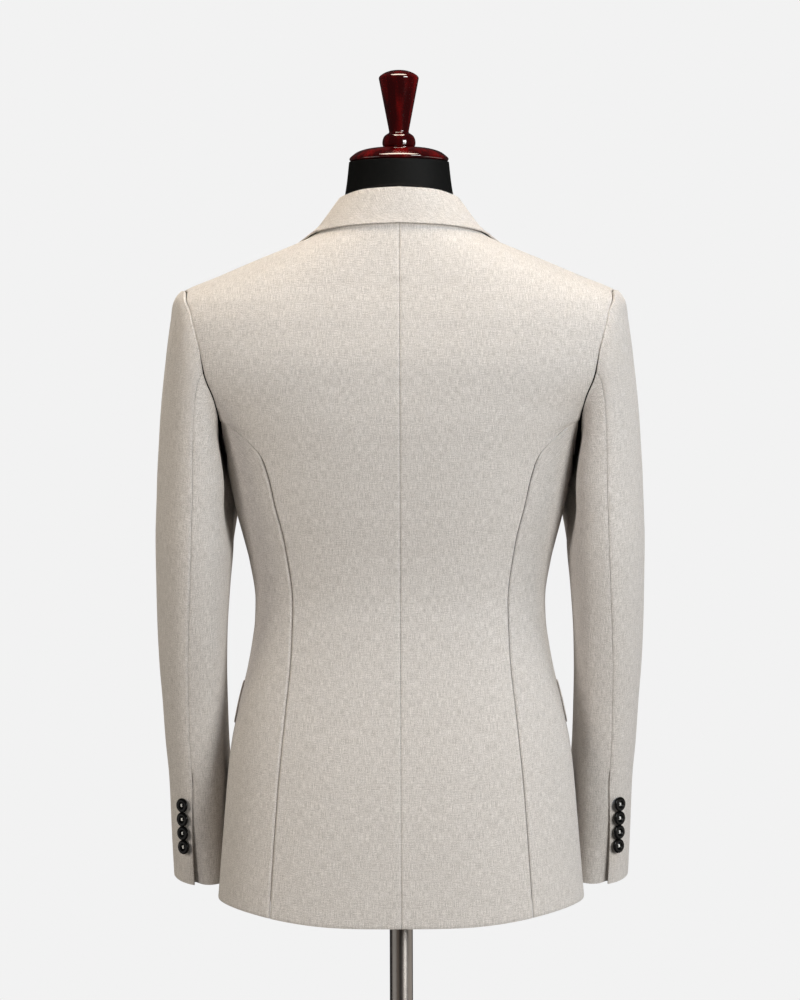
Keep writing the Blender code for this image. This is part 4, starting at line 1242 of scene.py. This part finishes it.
def make_collar():
    """The collar: a stand and a fall in one folded strip, from gorge to gorge."""
    turns = np.linspace(-COLLAR_END, COLLAR_END, COLLAR_COLUMNS)
    net = smoothed(collar_section(turns), COLLAR_BETWEEN)
    row = COLLAR_LOOSE
    for _ in range(COLLAR_SMOOTHING):
        net[row:-1] = (net[row - 1:-2] + 2 * net[row:-1] + net[row + 1:]) / 4

    def place(u, v):
        return net[np.rint(v).astype(int), np.rint(u).astype(int)]

    make_sheet("collar", "collar", np.arange(len(turns)), np.arange(len(net)), place,
               "folded", ["back_left", "back_right"], offset=0.0)


# ---------------------------------------------------------------- sleeves
def sleeve_ring(height, turn):
    """A point of the sleeve tube: turn 0 on its outer side, 90 degrees at its back."""
    def read(column):
        return SLEEVE.at(column, height)

    width, depth, twist = read("half_width"), read("half_depth"), np.radians(read("turn"))
    reach = np.hypot(width * np.cos(twist), depth * np.sin(twist))
    rear = np.where(np.cos(turn) > 0, SLEEVE_PRESS, read("flatness"))
    squareness = np.where(np.sin(turn) > 0, rear, SLEEVE_SQUARENESS)
    radius = oval(turn - math.pi / 2, width, depth, depth, squareness)
    outward, backward = radius * np.cos(turn), radius * np.sin(turn)
    x = read("outer") - reach + outward * np.cos(twist) + backward * np.sin(twist)
    round_it = turn % (2 * math.pi)
    x = x + ARMPIT.at("hollow", height) * bell(round_it - HOLLOW_TURN, HOLLOW_WIDTH)
    x = x - ARMPIT.at("bulge", height) * bell(round_it - BULGE_TURN, BULGE_WIDTH)
    shift = backward * np.cos(twist) - outward * np.sin(twist)
    tilt = CUFF_TILT * (1 - ease(CUFF, TILT_TOP, height))
    return np.stack([x, read("forward") + shift, height - tilt * shift], axis=-1)


def sleeve_head(rise, turn):
    """A point between the tube's top ring (rise 0) and the armhole's edge (rise 1)."""
    seat = body_point(*armhole(turn, -SEAM / 2))
    ring = sleeve_ring(SLEEVE_TOP + 0 * turn, turn)
    upper = (1 + np.cos(turn)) / 2
    leave = unit(np.stack([blend(LEAVE_OUT, 1.0, upper), LEAVE_BACK * np.sin(turn),
                           -blend(LEAVE_DOWN, 1.0, 1 - upper)], axis=-1))
    reach = blend(*HEAD_REACH, upper)
    drop = seat[..., 2] - ring[..., 2]
    first = seat + leave * reach[..., None]
    last = ring + np.stack([0 * drop, 0 * drop, HEAD_FOLLOW * drop], axis=-1)
    part = (1 - rise)[..., None]
    point = ((1 - part) ** 3 * seat + 3 * (1 - part) ** 2 * part * first
             + 3 * (1 - part) * part ** 2 * last + part ** 3 * ring)
    point[..., 0] -= HEAD_TRIM.at("trim", point[..., 2]) * np.clip(np.cos(turn), 0.0, 1.0)
    return point


def sleeve_surface(rise, turn):
    """A point of the sleeve: rise -1 at the cuff, 0 at the tube's top, 1 at the armhole."""
    tube = sleeve_ring(blend(SLEEVE_TOP, CUFF, np.clip(-rise, 0, 1)), turn)
    head = sleeve_head(np.clip(rise, 0, 1), turn)
    return np.where((rise > 0)[..., None], head, tube)


def tube_rise(height):
    """The rise of the tube's ring at a height."""
    return (height - SLEEVE_TOP) / (SLEEVE_TOP - CUFF)


def sleeve_inward(rise, turn, depth):
    """A sleeve point moved towards the inside of the sleeve."""
    up = sleeve_surface(rise + NEAR, turn) - sleeve_surface(rise - NEAR, turn)
    round_it = sleeve_surface(rise, turn + NEAR) - sleeve_surface(rise, turn - NEAR)
    normal = unit(np.cross(up, round_it))
    return sleeve_surface(rise, turn) + normal * np.asarray(depth)[..., None]


def cuff_rise(rise, amount):
    """Moves a point up near the cuff by an amount, as a fraction of the tube."""
    return rise + amount / (SLEEVE_TOP - CUFF) * (1 - ease(-1.0, CUFF_FADE, rise))


def make_sleeve(side, suffix):
    """A two-piece sleeve: the under sleeve tucks below the top sleeve at the vent."""
    wall = bpy.context.scene.jacket.wall
    half_gap = SEAM / 2 / SLEEVE_REACH
    underlap = VENT_UNDERLAP / SLEEVE_REACH
    opening, closed = tube_rise(VENT_TOP), tube_rise(VENT_TOP + VENT_FADE)
    tucked = tube_rise(VENT_TOP + TUCK_FADE * VENT_FADE)
    rows = np.concatenate([grid_lines(TUBE_LENGTH, TUBE_FINE)[:-1] - 1,
                           np.linspace(0, HEAD_SHARE, HEAD_COUNT),
                           1 - HEAD_ROWS / SLEEVE_HEAD])

    def hind_seam(rise):
        return HIND_ARM_SEAM - VENT_LEAN * (1 - ease(-1.0, tube_rise(LEAN_TOP), rise))

    def dip(rise, turn, near_front, near_hind):
        below = (1 - rise) * SLEEVE_HEAD
        around = ease(*SINK_FROM, turn) * (1 - ease(*SINK_TO, turn))
        ridge = HEAD_RIDGE * bell(below - HEAD_RIDGE_PLACE, HEAD_RIDGE_WIDTH)
        return (seam_dip(near_front) + HEAD_DIP * seam_dip(below / HEAD_DIP)
                + seam_dip(near_hind, HIND_SHARE) + ridge - armhole_hollow(below, around))

    def place_top(u, rise):
        first, last = FRONT_ARM_SEAM + half_gap, hind_seam(rise) - half_gap
        turn = blend(first, last, u)
        open_edge = 1 - ease(opening, closed, rise)
        near_front, near_hind = (turn - first) * SLEEVE_REACH, (last - turn) * SLEEVE_REACH
        slope = CUFF_SLOPE * np.clip(np.cos(turn), 0.0, 1.0) ** CUFF_SLOPE_POWER
        return mirrored(sleeve_inward(cuff_rise(rise, slope), turn, -dip(
            rise, turn, near_front, near_hind + VENT_CLEAR * open_edge)), side)

    def place_under(u, rise):
        vent = 1 - ease(opening, closed, rise)
        seam = hind_seam(rise)
        first = seam + half_gap - vent * (underlap + half_gap)
        last = FRONT_ARM_SEAM + 2 * math.pi - half_gap
        turn = blend(first, last, u)
        near_front, near_hind = (last - turn) * SLEEVE_REACH, (turn - first + vent) * SLEEVE_REACH
        down = 1 - ease(-1.0, opening, rise)
        reach = blend(*TUCK_REACH, down) * underlap
        close = 1 - ease(seam + half_gap, seam + half_gap + reach, turn)
        depth = blend(wall + LAY, VENT_DEPTH, down)
        tuck = depth * close * (1 - ease(closed, tucked, rise))
        corner = CUFF_CORNER * (1 - ease(0.0, CUFF_CORNER_WIDTH / SLEEVE_REACH, turn - seam))
        inner = CUFF_INSIDE * np.clip(-np.cos(turn), 0.0, 1.0)
        rise = cuff_rise(rise, corner + inner)
        return mirrored(sleeve_inward(rise, turn, tuck - dip(rise, turn, near_front, near_hind)),
                        side)

    for kind, span, place in (("top_sleeve", TOP_SPAN, place_top),
                              ("under_sleeve", UNDER_SPAN, place_under)):
        make_sheet(f"{kind}_{suffix}", kind, grid_lines(span, FINE, SLEEVE_COARSE), rows, place,
                   "hung", ["back_" + suffix, "front_" + suffix], flip=side < 0, grain=0.5)


# ---------------------------------------------------------------- buttons
def button_outline(radius):
    """A button's section: domed rim, dished middle and flat back, standing on z = 0."""
    thick = radius * BUTTON_THICK
    rim = thick / 2
    dish = smoothed([(radius * out, thick * up) for out, up in BUTTON_DISH], 4)
    rows = [tuple(row) for row in dish]
    return rows + arc((radius - rim, rim), rim, 70, -80, 12) + [(0.0, 0.0)], thick


def stitches(name, radius, seats):
    """Crossed stitches in the dish of each button, on seats that are 4 by 4 matrices."""
    bm = bmesh.new()
    span, thick = radius * STITCH_SPAN, radius * STITCH_THICK
    for seat in seats:
        for angle in STITCH_ANGLES:
            ring = bmesh.ops.create_circle(bm, segments=8, radius=thick)["verts"]
            bmesh.ops.translate(bm, verts=ring, vec=(span, 0, 0))
            edges = list({edge for vert in ring for edge in vert.link_edges})
            bmesh.ops.spin(bm, geom=ring + edges, cent=(0, 0, 0), axis=(0, -1, 0),
                           angle=math.pi, steps=10)
            whole = list({vert for vert in bm.verts if not vert.tag})
            bmesh.ops.scale(bm, verts=whole, vec=(1.0, 1.0, STITCH_RISE))
            bmesh.ops.rotate(bm, verts=whole,
                             matrix=Matrix.Rotation(math.radians(angle), 3, "Z"))
            bmesh.ops.transform(bm, verts=whole, matrix=seat)
            for vert in whole:
                vert.tag = True
    bmesh.ops.holes_fill(bm, edges=bm.edges, sides=8)
    bmesh.ops.recalc_face_normals(bm, faces=bm.faces)
    thing = add_object(name, mesh_from(name, bm), [thread_material()])
    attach(thing, "root")


def make_button(name, radius, point, normal):
    """A button with its back on a point and its face along a normal; returns its dish."""
    outline, thick = button_outline(radius)
    thing = turned(name, outline, [button_material()], steps=48)
    east = unit(np.cross((0.0, 0.0, 1.0), normal))
    seat = np.eye(4)
    seat[:3, :3] = np.column_stack([east, np.cross(normal, east), normal])
    seat[:3, 3] = point + normal * CONTACT
    matrix = Matrix(seat.tolist())
    thing.data.transform(matrix)
    finish_piece(thing, "button", name)
    return matrix @ Matrix.Translation((0, 0, thick * BUTTON_DISH[0][1]))


def make_cuff_buttons(side, suffix):
    """Four buttons that touch, along the vent of one cuff."""
    radius = bpy.context.scene.jacket.cuff_button_radius
    dishes = []
    for number, height in enumerate(CUFF_BUTTON_HEIGHTS, 1):
        rise, turn = np.array([tube_rise(height)]), np.array([CUFF_BUTTON_TURN])
        foot = mirrored(sleeve_surface(rise, turn), side)[0]
        inner = mirrored(sleeve_inward(rise, turn, PROBE), side)[0]
        normal = unit(foot - inner)
        east = unit(np.cross((0.0, 0.0, 1.0), normal))
        tilted = (normal * math.cos(BUTTON_TILT) + np.cross(normal, east)
                  * math.sin(BUTTON_TILT))
        foot = foot + normal * radius * math.sin(BUTTON_TILT)
        dishes.append(make_button(f"cuff_button_{suffix}_{number}", radius, foot, tilted))
    stitches("cuff_button_thread_" + suffix, radius, dishes)


def make_front_button():
    """The one button that fastens the fronts."""
    radius = bpy.context.scene.jacket.front_button_radius
    height, turn = np.array([BUTTON_HEIGHT]), np.array([math.pi])
    foot = front_surface(1, height, turn)[0]
    normal = unit(front_surface(1, height, turn, np.array([PROBE]))[0] - foot)
    dish = make_button("front_button", radius, foot + normal * FRONT_BUTTON_STAND, normal)
    stitches("front_button_thread", radius, [dish])


# ---------------------------------------------------------------- form and stand
def cover_seam(height, turn):
    """A raised seam round the foot of the neck, just above the collar."""
    side = np.abs(np.sin(turn))
    fall = COVER_DROP * side ** COVER_POWER
    middle = np.where(np.cos(turn) > 0, COVER_BACK - fall, COVER_FRONT)
    return COVER_SEAM * bell(height - middle, COVER_SEAM_WIDTH)


def make_form():
    """The padded form: rings inside the cloth, closed by flat ends."""
    around = np.linspace(0, 2 * math.pi, FORM_COLUMNS)
    rounded = FORM_BOTTOM + FORM_FOOT_ROUND
    ends = FORM_BOTTOM, rounded, FORM_NECK, FORM_TOP
    spans = [np.linspace(*span) for span in zip(ends, ends[1:], FORM_ROWS)]
    heights = np.concatenate([spans[0][:-1], spans[1][:-1], spans[2]])

    def place(turn, height):
        inset = FORM_INSET.at("inset", height)
        points = body_surface(height, turn, cover_seam(height, turn) - inset)
        points[:, 0] = np.clip(points[:, 0], -FORM_HALF_WIDTH, FORM_HALF_WIDTH)
        points[:, 2] = np.clip(points[:, 2], FORM_BOTTOM, FORM_TOP)
        foot = 1 - (1 - FORM_FOOT_SHARE) * (1 - ease(FORM_BOTTOM, rounded, height))
        points[:, :2] *= foot[:, None]
        return points

    bm, layout = mapped_grid(around, heights, place)
    mesh = mesh_from("form", bm)
    lay_flat(mesh, layout)
    bm = bmesh.new()
    bm.from_mesh(mesh)
    bmesh.ops.remove_doubles(bm, verts=bm.verts, dist=1e-5)
    rims = [edge for edge in bm.edges if edge.is_boundary]
    bmesh.ops.edgeloop_fill(bm, edges=rims)
    bmesh.ops.recalc_face_normals(bm, faces=bm.faces)
    bm.to_mesh(mesh)
    bm.free()
    finish_piece(add_object("form_cover", mesh, [jersey_material()]), "form_cover", "form")


def raised(profile, foot):
    """An outline's rows, moved up to its foot's height."""
    return [(radius, foot + height) for radius, height in profile]


def make_neck_cap():
    """The turned and domed cap on the neck."""
    dome = [tuple(row) for row in smoothed(NECK_CAP[:-1])]
    thing = turned("neck_cap", raised(dome + [NECK_CAP[-1]], FORM_TOP + CONTACT),
                   [wood_material()], steps=128)
    finish_piece(thing, "mahogany", "neck_cap")


def make_finial():
    """The tapered knob over a bead."""
    foot = FORM_TOP + 2 * CONTACT + NECK_CAP[0][1]
    crown, waist, bead = (tuple(map(tuple, smoothed(rows)))
                          for rows in (KNOB_CROWN, KNOB_WAIST, BEAD))
    outline = raised(crown + waist, foot + BEAD[0][1]) + raised(bead[1:] + ((0.0, 0.0),), foot)
    thing = turned("finial", outline, [wood_material()], steps=96)
    finish_piece(thing, "mahogany", "finial")


def make_stand():
    """The pole and the round foot plate."""
    top, bottom = FORM_BOTTOM - CONTACT, BASE_TOP + CONTACT
    inside = POLE_RADIUS - POLE_EDGE
    pole = [(0.0, top), *arc((inside, top - POLE_EDGE), POLE_EDGE, 90, 0, 5),
            *arc((inside, bottom + POLE_EDGE), POLE_EDGE, 0, -90, 5), (0.0, bottom)]
    finish_piece(turned("pole", pole, [chrome_material()]), "chrome", "pole")
    socket = [(0.0, BASE_TOP), *arc((SOCKET_RADIUS - SOCKET_EDGE, BASE_TOP - SOCKET_EDGE),
                                    SOCKET_EDGE, 90, 0, 6)]
    fillet = arc(*FILLET, 180, 265, 8)
    plate = [PLATE_BREAK, *arc((BASE_RADIUS - BASE_RIM, BASE_RIM), BASE_RIM, 84, -84, 14)]
    base = turned("base", socket + fillet + plate + [(0.0, 0.0)], [chrome_material()],
                  steps=160)
    finish_piece(base, "chrome", "base")


# ---------------------------------------------------------------- stage
CAMERA_ROLL = math.radians(0.17)
SENSOR = 36.0  # width of the camera's sensor in millimetres
REFLECTED = 0.03  # strength of the surroundings in reflections
FLOOR_RADIUS, FLOOR_GREY = 4.0, 0.62
FLOOR_FADE = 0.5, 2.4  # radii between which it fades into the surroundings
FLOOR_DIM = 0.15, 0.04  # its grey for light thrown back, and in reflections
JACKET_AIM, POLE_AIM = (0.0, 0.0, 1.15), (0.0, 0.0, 0.5)  # what the lights are aimed at
LIGHTS = (
    # name, place, size, power, colour and aim, if it isn't the jacket
    ("overhead", (0.0, 0.1, 3.0), (1.2, 0.8), 31.5, (1.0, 0.87, 0.71)),
    ("high right fill", (-1.2, 1.0, 3.2), (1.2, 1.2), 16.5, (0.40, 0.67, 1.0)),
    ("key", (-2.8, 3.3, 2.0), (1.7, 1.7), 147.0, (1.0, 1.0, 0.98)),
    ("left key fill", (3.0, 2.8, 1.8), (1.4, 1.8), 68.0, (1.0, 0.954, 0.922)),
    ("left side fill", (4.0, 0.3, 1.5), (1.6, 2.2), 31.0, (1.0, 0.93, 0.74)),
    ("right side fill", (-4.0, 0.3, 1.5), (1.6, 2.2), 38.5, (1.0, 0.97, 0.955)),
    ("front key fill", (1.1, -4.0, 3.0), (1.0, 1.0), 105.0, (1.0, 0.98, 0.96)),
    ("front fill", (-1.2, -4.2, 1.4), (2.0, 2.0), 45.0, (1.0, 0.98, 0.96)),
    ("left card", (1.45, 0.39, 0.50), (1.4, 0.7), 2.3, (1.0, 0.97, 0.93), POLE_AIM),
    ("middle card", (0.86, 1.23, 0.50), (0.62, 0.7), 0.42, (1.0, 0.83, 0.70), POLE_AIM),
    ("right card", (-0.66, 1.35, 0.50), (0.75, 0.7), 0.62, (1.0, 0.88, 0.80), POLE_AIM),
    ("far right card", (-1.48, -0.26, 0.50), (1.9, 0.7), 3.2, (1.0, 0.93, 0.86), POLE_AIM),
)


def aimed(thing, target):
    """Turns a light or a camera at its place towards a target."""
    away = thing.location - type(thing.location)(target)
    thing.rotation_euler = away.to_track_quat("Z", "Y").to_euler()


def add_light(name, place, size, power, colour, target=JACKET_AIM):
    """A soft rectangular light that the camera doesn't see.

    Fills light without a reflection; cards are seen in reflections alone."""
    data = bpy.data.lights.new(name, "AREA")
    data.shape = "RECTANGLE"
    data.size, data.size_y = size
    data.energy = power
    data.color = colour
    lamp = bpy.data.objects.new(name, data)
    lamp.location = place
    lamp.visible_camera = False
    lamp.visible_glossy = "fill" not in name
    lamp.visible_diffuse = "card" not in name
    bpy.context.scene.collection.objects.link(lamp)
    aimed(lamp, target)


def make_world():
    """Even surroundings: pale to the camera, softer as light, and darker in reflections."""
    stage = bpy.context.scene.stage
    world = bpy.data.worlds.new("Studio")
    world.use_nodes = True
    bpy.context.scene.world = world
    graph = Graph(world.node_tree)
    world.node_tree.nodes.clear()
    rays = graph.node("LightPath").outputs
    pale, light, mirror = (graph.node("Background", {"Color": opaque(stage.backdrop),
                                                     "Strength": strength}).outputs[0]
                           for strength in (1.0, stage.ambient, REFLECTED))
    lit = graph.node("MixShader", {0: rays["Is Glossy Ray"], 1: light, 2: mirror}).outputs[0]
    seen = graph.node("MixShader", {0: rays["Is Camera Ray"], 1: lit, 2: pale}).outputs[0]
    graph.node("OutputWorld", {"Surface": seen})


def make_floor():
    """A round floor that fades into the surroundings, and throws little light back."""
    bm = bmesh.new()
    bmesh.ops.create_circle(bm, cap_ends=True, segments=96, radius=FLOOR_RADIUS)
    mesh = mesh_from("floor", bm)
    material, graph, shader = new_material("Pale floor")
    set_sockets(shader, {"Base Color": opaque((FLOOR_GREY,) * 3), "Roughness": 0.8,
                         "Specular IOR Level": 0.1})
    place = graph.node("TexCoord").outputs["Object"]
    radius = graph.node("VectorMath", {0: place}, operation="LENGTH").outputs["Value"]
    near, far = FLOOR_FADE
    fade = graph.node("MapRange", {"Value": radius, "From Min": near, "From Max": far},
                      interpolation_type="SMOOTHSTEP").outputs[0]
    colour = opaque(bpy.context.scene.stage.backdrop)
    glow = graph.node("Emission", {"Color": colour}).outputs[0]
    rays = graph.node("LightPath").outputs
    dim, dark = (graph.node("BsdfDiffuse", {"Color": opaque((grey,) * 3)}).outputs[0]
                 for grey in FLOOR_DIM)
    away = graph.node("MixShader", {0: rays["Is Glossy Ray"], 1: dim, 2: dark}).outputs[0]
    nodes = material.node_tree.nodes
    pale = graph.node("MixShader", {0: fade, 1: nodes["Principled BSDF"].outputs[0], 2: glow})
    mixed = graph.node("MixShader", {0: rays["Is Camera Ray"], 1: away, 2: pale.outputs[0]})
    graph.feed(mixed.outputs[0], nodes["Material Output"].inputs["Surface"])
    add_object("floor", mesh, [material])


def make_camera():
    """A long lens, level, straight behind the jacket."""
    stage = bpy.context.scene.stage
    data = bpy.data.cameras.new("Camera")
    data.sensor_width = SENSOR
    data.lens = data.sensor_width * stage.distance / stage.view_height
    camera = bpy.data.objects.new("Camera", data)
    camera.location = (0.0, stage.distance, stage.eye)
    bpy.context.scene.collection.objects.link(camera)
    aimed(camera, (0.0, 0.0, stage.eye))
    camera.rotation_euler.rotate_axis("Z", -CAMERA_ROLL)
    bpy.context.scene.camera = camera


# ---------------------------------------------------------------- operators
def make_both(make):
    """Makes a piece for the wearer's left and one for the right."""
    for side, suffix in SIDES:
        make(side, suffix)


class JACKET_OT_backs(bpy.types.Operator):
    """Make both halves of the back"""

    bl_idname = "jacket.backs"
    bl_label = "Backs"

    def execute(self, context):
        make_both(make_back)
        return {"FINISHED"}


class JACKET_OT_sides(bpy.types.Operator):
    """Make both side panels"""

    bl_idname = "jacket.sides"
    bl_label = "Side Panels"

    def execute(self, context):
        make_both(make_side)
        return {"FINISHED"}


class JACKET_OT_fronts(bpy.types.Operator):
    """Make both fronts"""

    bl_idname = "jacket.fronts"
    bl_label = "Fronts"

    def execute(self, context):
        make_both(make_front)
        return {"FINISHED"}


class JACKET_OT_lapels(bpy.types.Operator):
    """Make both lapels"""

    bl_idname = "jacket.lapels"
    bl_label = "Lapels"

    def execute(self, context):
        make_both(make_lapel)
        return {"FINISHED"}


class JACKET_OT_flaps(bpy.types.Operator):
    """Make both pocket flaps"""

    bl_idname = "jacket.flaps"
    bl_label = "Pocket Flaps"

    def execute(self, context):
        make_both(make_flap)
        return {"FINISHED"}


class JACKET_OT_collar(bpy.types.Operator):
    """Make the collar"""

    bl_idname = "jacket.collar"
    bl_label = "Collar"

    def execute(self, context):
        make_collar()
        return {"FINISHED"}


class JACKET_OT_sleeves(bpy.types.Operator):
    """Make both two-piece sleeves"""

    bl_idname = "jacket.sleeves"
    bl_label = "Sleeves"

    def execute(self, context):
        make_both(make_sleeve)
        return {"FINISHED"}


class JACKET_OT_buttons(bpy.types.Operator):
    """Make the cuff buttons, the front button and their thread"""

    bl_idname = "jacket.buttons"
    bl_label = "Buttons"

    def execute(self, context):
        make_both(make_cuff_buttons)
        make_front_button()
        return {"FINISHED"}


class JACKET_OT_form(bpy.types.Operator):
    """Make the padded form"""

    bl_idname = "jacket.form"
    bl_label = "Form"

    def execute(self, context):
        make_form()
        return {"FINISHED"}


class JACKET_OT_neck_top(bpy.types.Operator):
    """Make the neck cap and the finial"""

    bl_idname = "jacket.neck_top"
    bl_label = "Neck Cap and Finial"

    def execute(self, context):
        make_neck_cap()
        make_finial()
        return {"FINISHED"}


class JACKET_OT_stand(bpy.types.Operator):
    """Make the pole and its foot"""

    bl_idname = "jacket.stand"
    bl_label = "Stand"

    def execute(self, context):
        make_stand()
        return {"FINISHED"}


class JACKET_OT_stage(bpy.types.Operator):
    """Make the floor, the light and the camera"""

    bl_idname = "jacket.stage"
    bl_label = "Stage"

    def execute(self, context):
        make_world()
        make_floor()
        for light in LIGHTS:
            add_light(*light)
        make_camera()
        context.scene.view_settings.view_transform = "Standard"
        return {"FINISHED"}


OPERATORS = (
    JACKET_OT_backs, JACKET_OT_sides, JACKET_OT_fronts, JACKET_OT_lapels, JACKET_OT_flaps,
    JACKET_OT_collar, JACKET_OT_sleeves, JACKET_OT_buttons, JACKET_OT_form,
    JACKET_OT_neck_top, JACKET_OT_stand, JACKET_OT_stage,
)


class JACKET_PT_pieces(bpy.types.Panel):
    """Lists the pieces and the settings"""

    bl_idname = "JACKET_PT_pieces"
    bl_label = "Evening Jacket"
    bl_space_type = "VIEW_3D"
    bl_region_type = "UI"
    bl_category = "Jacket"

    def draw(self, context):
        for group in (context.scene.jacket, context.scene.form, context.scene.stage):
            box = self.layout.box()
            for key in group.bl_rna.properties.keys():
                if key not in ("rna_type", "name"):
                    box.prop(group, key)
        for operator in OPERATORS:
            self.layout.operator(operator.bl_idname)


CLASSES = (JacketSettings, FormSettings, StageSettings, *OPERATORS, JACKET_PT_pieces)


def register():
    """Registers the classes and puts the settings on the scene."""
    for cls in CLASSES:
        bpy.utils.register_class(cls)
    bpy.types.Scene.jacket = PointerProperty(type=JacketSettings)
    bpy.types.Scene.form = PointerProperty(type=FormSettings)
    bpy.types.Scene.stage = PointerProperty(type=StageSettings)


def unregister():
    """Takes the settings and the classes away again."""
    for name in ("jacket", "form", "stage"):
        delattr(bpy.types.Scene, name)
    for cls in reversed(CLASSES):
        bpy.utils.unregister_class(cls)


def main():
    """Makes every piece and the stage."""
    register()
    for operator in OPERATORS:
        getattr(bpy.ops.jacket, operator.bl_idname.split(".")[1])()
    bpy.context.view_layer.update()


if __name__ == "__main__":
    main()
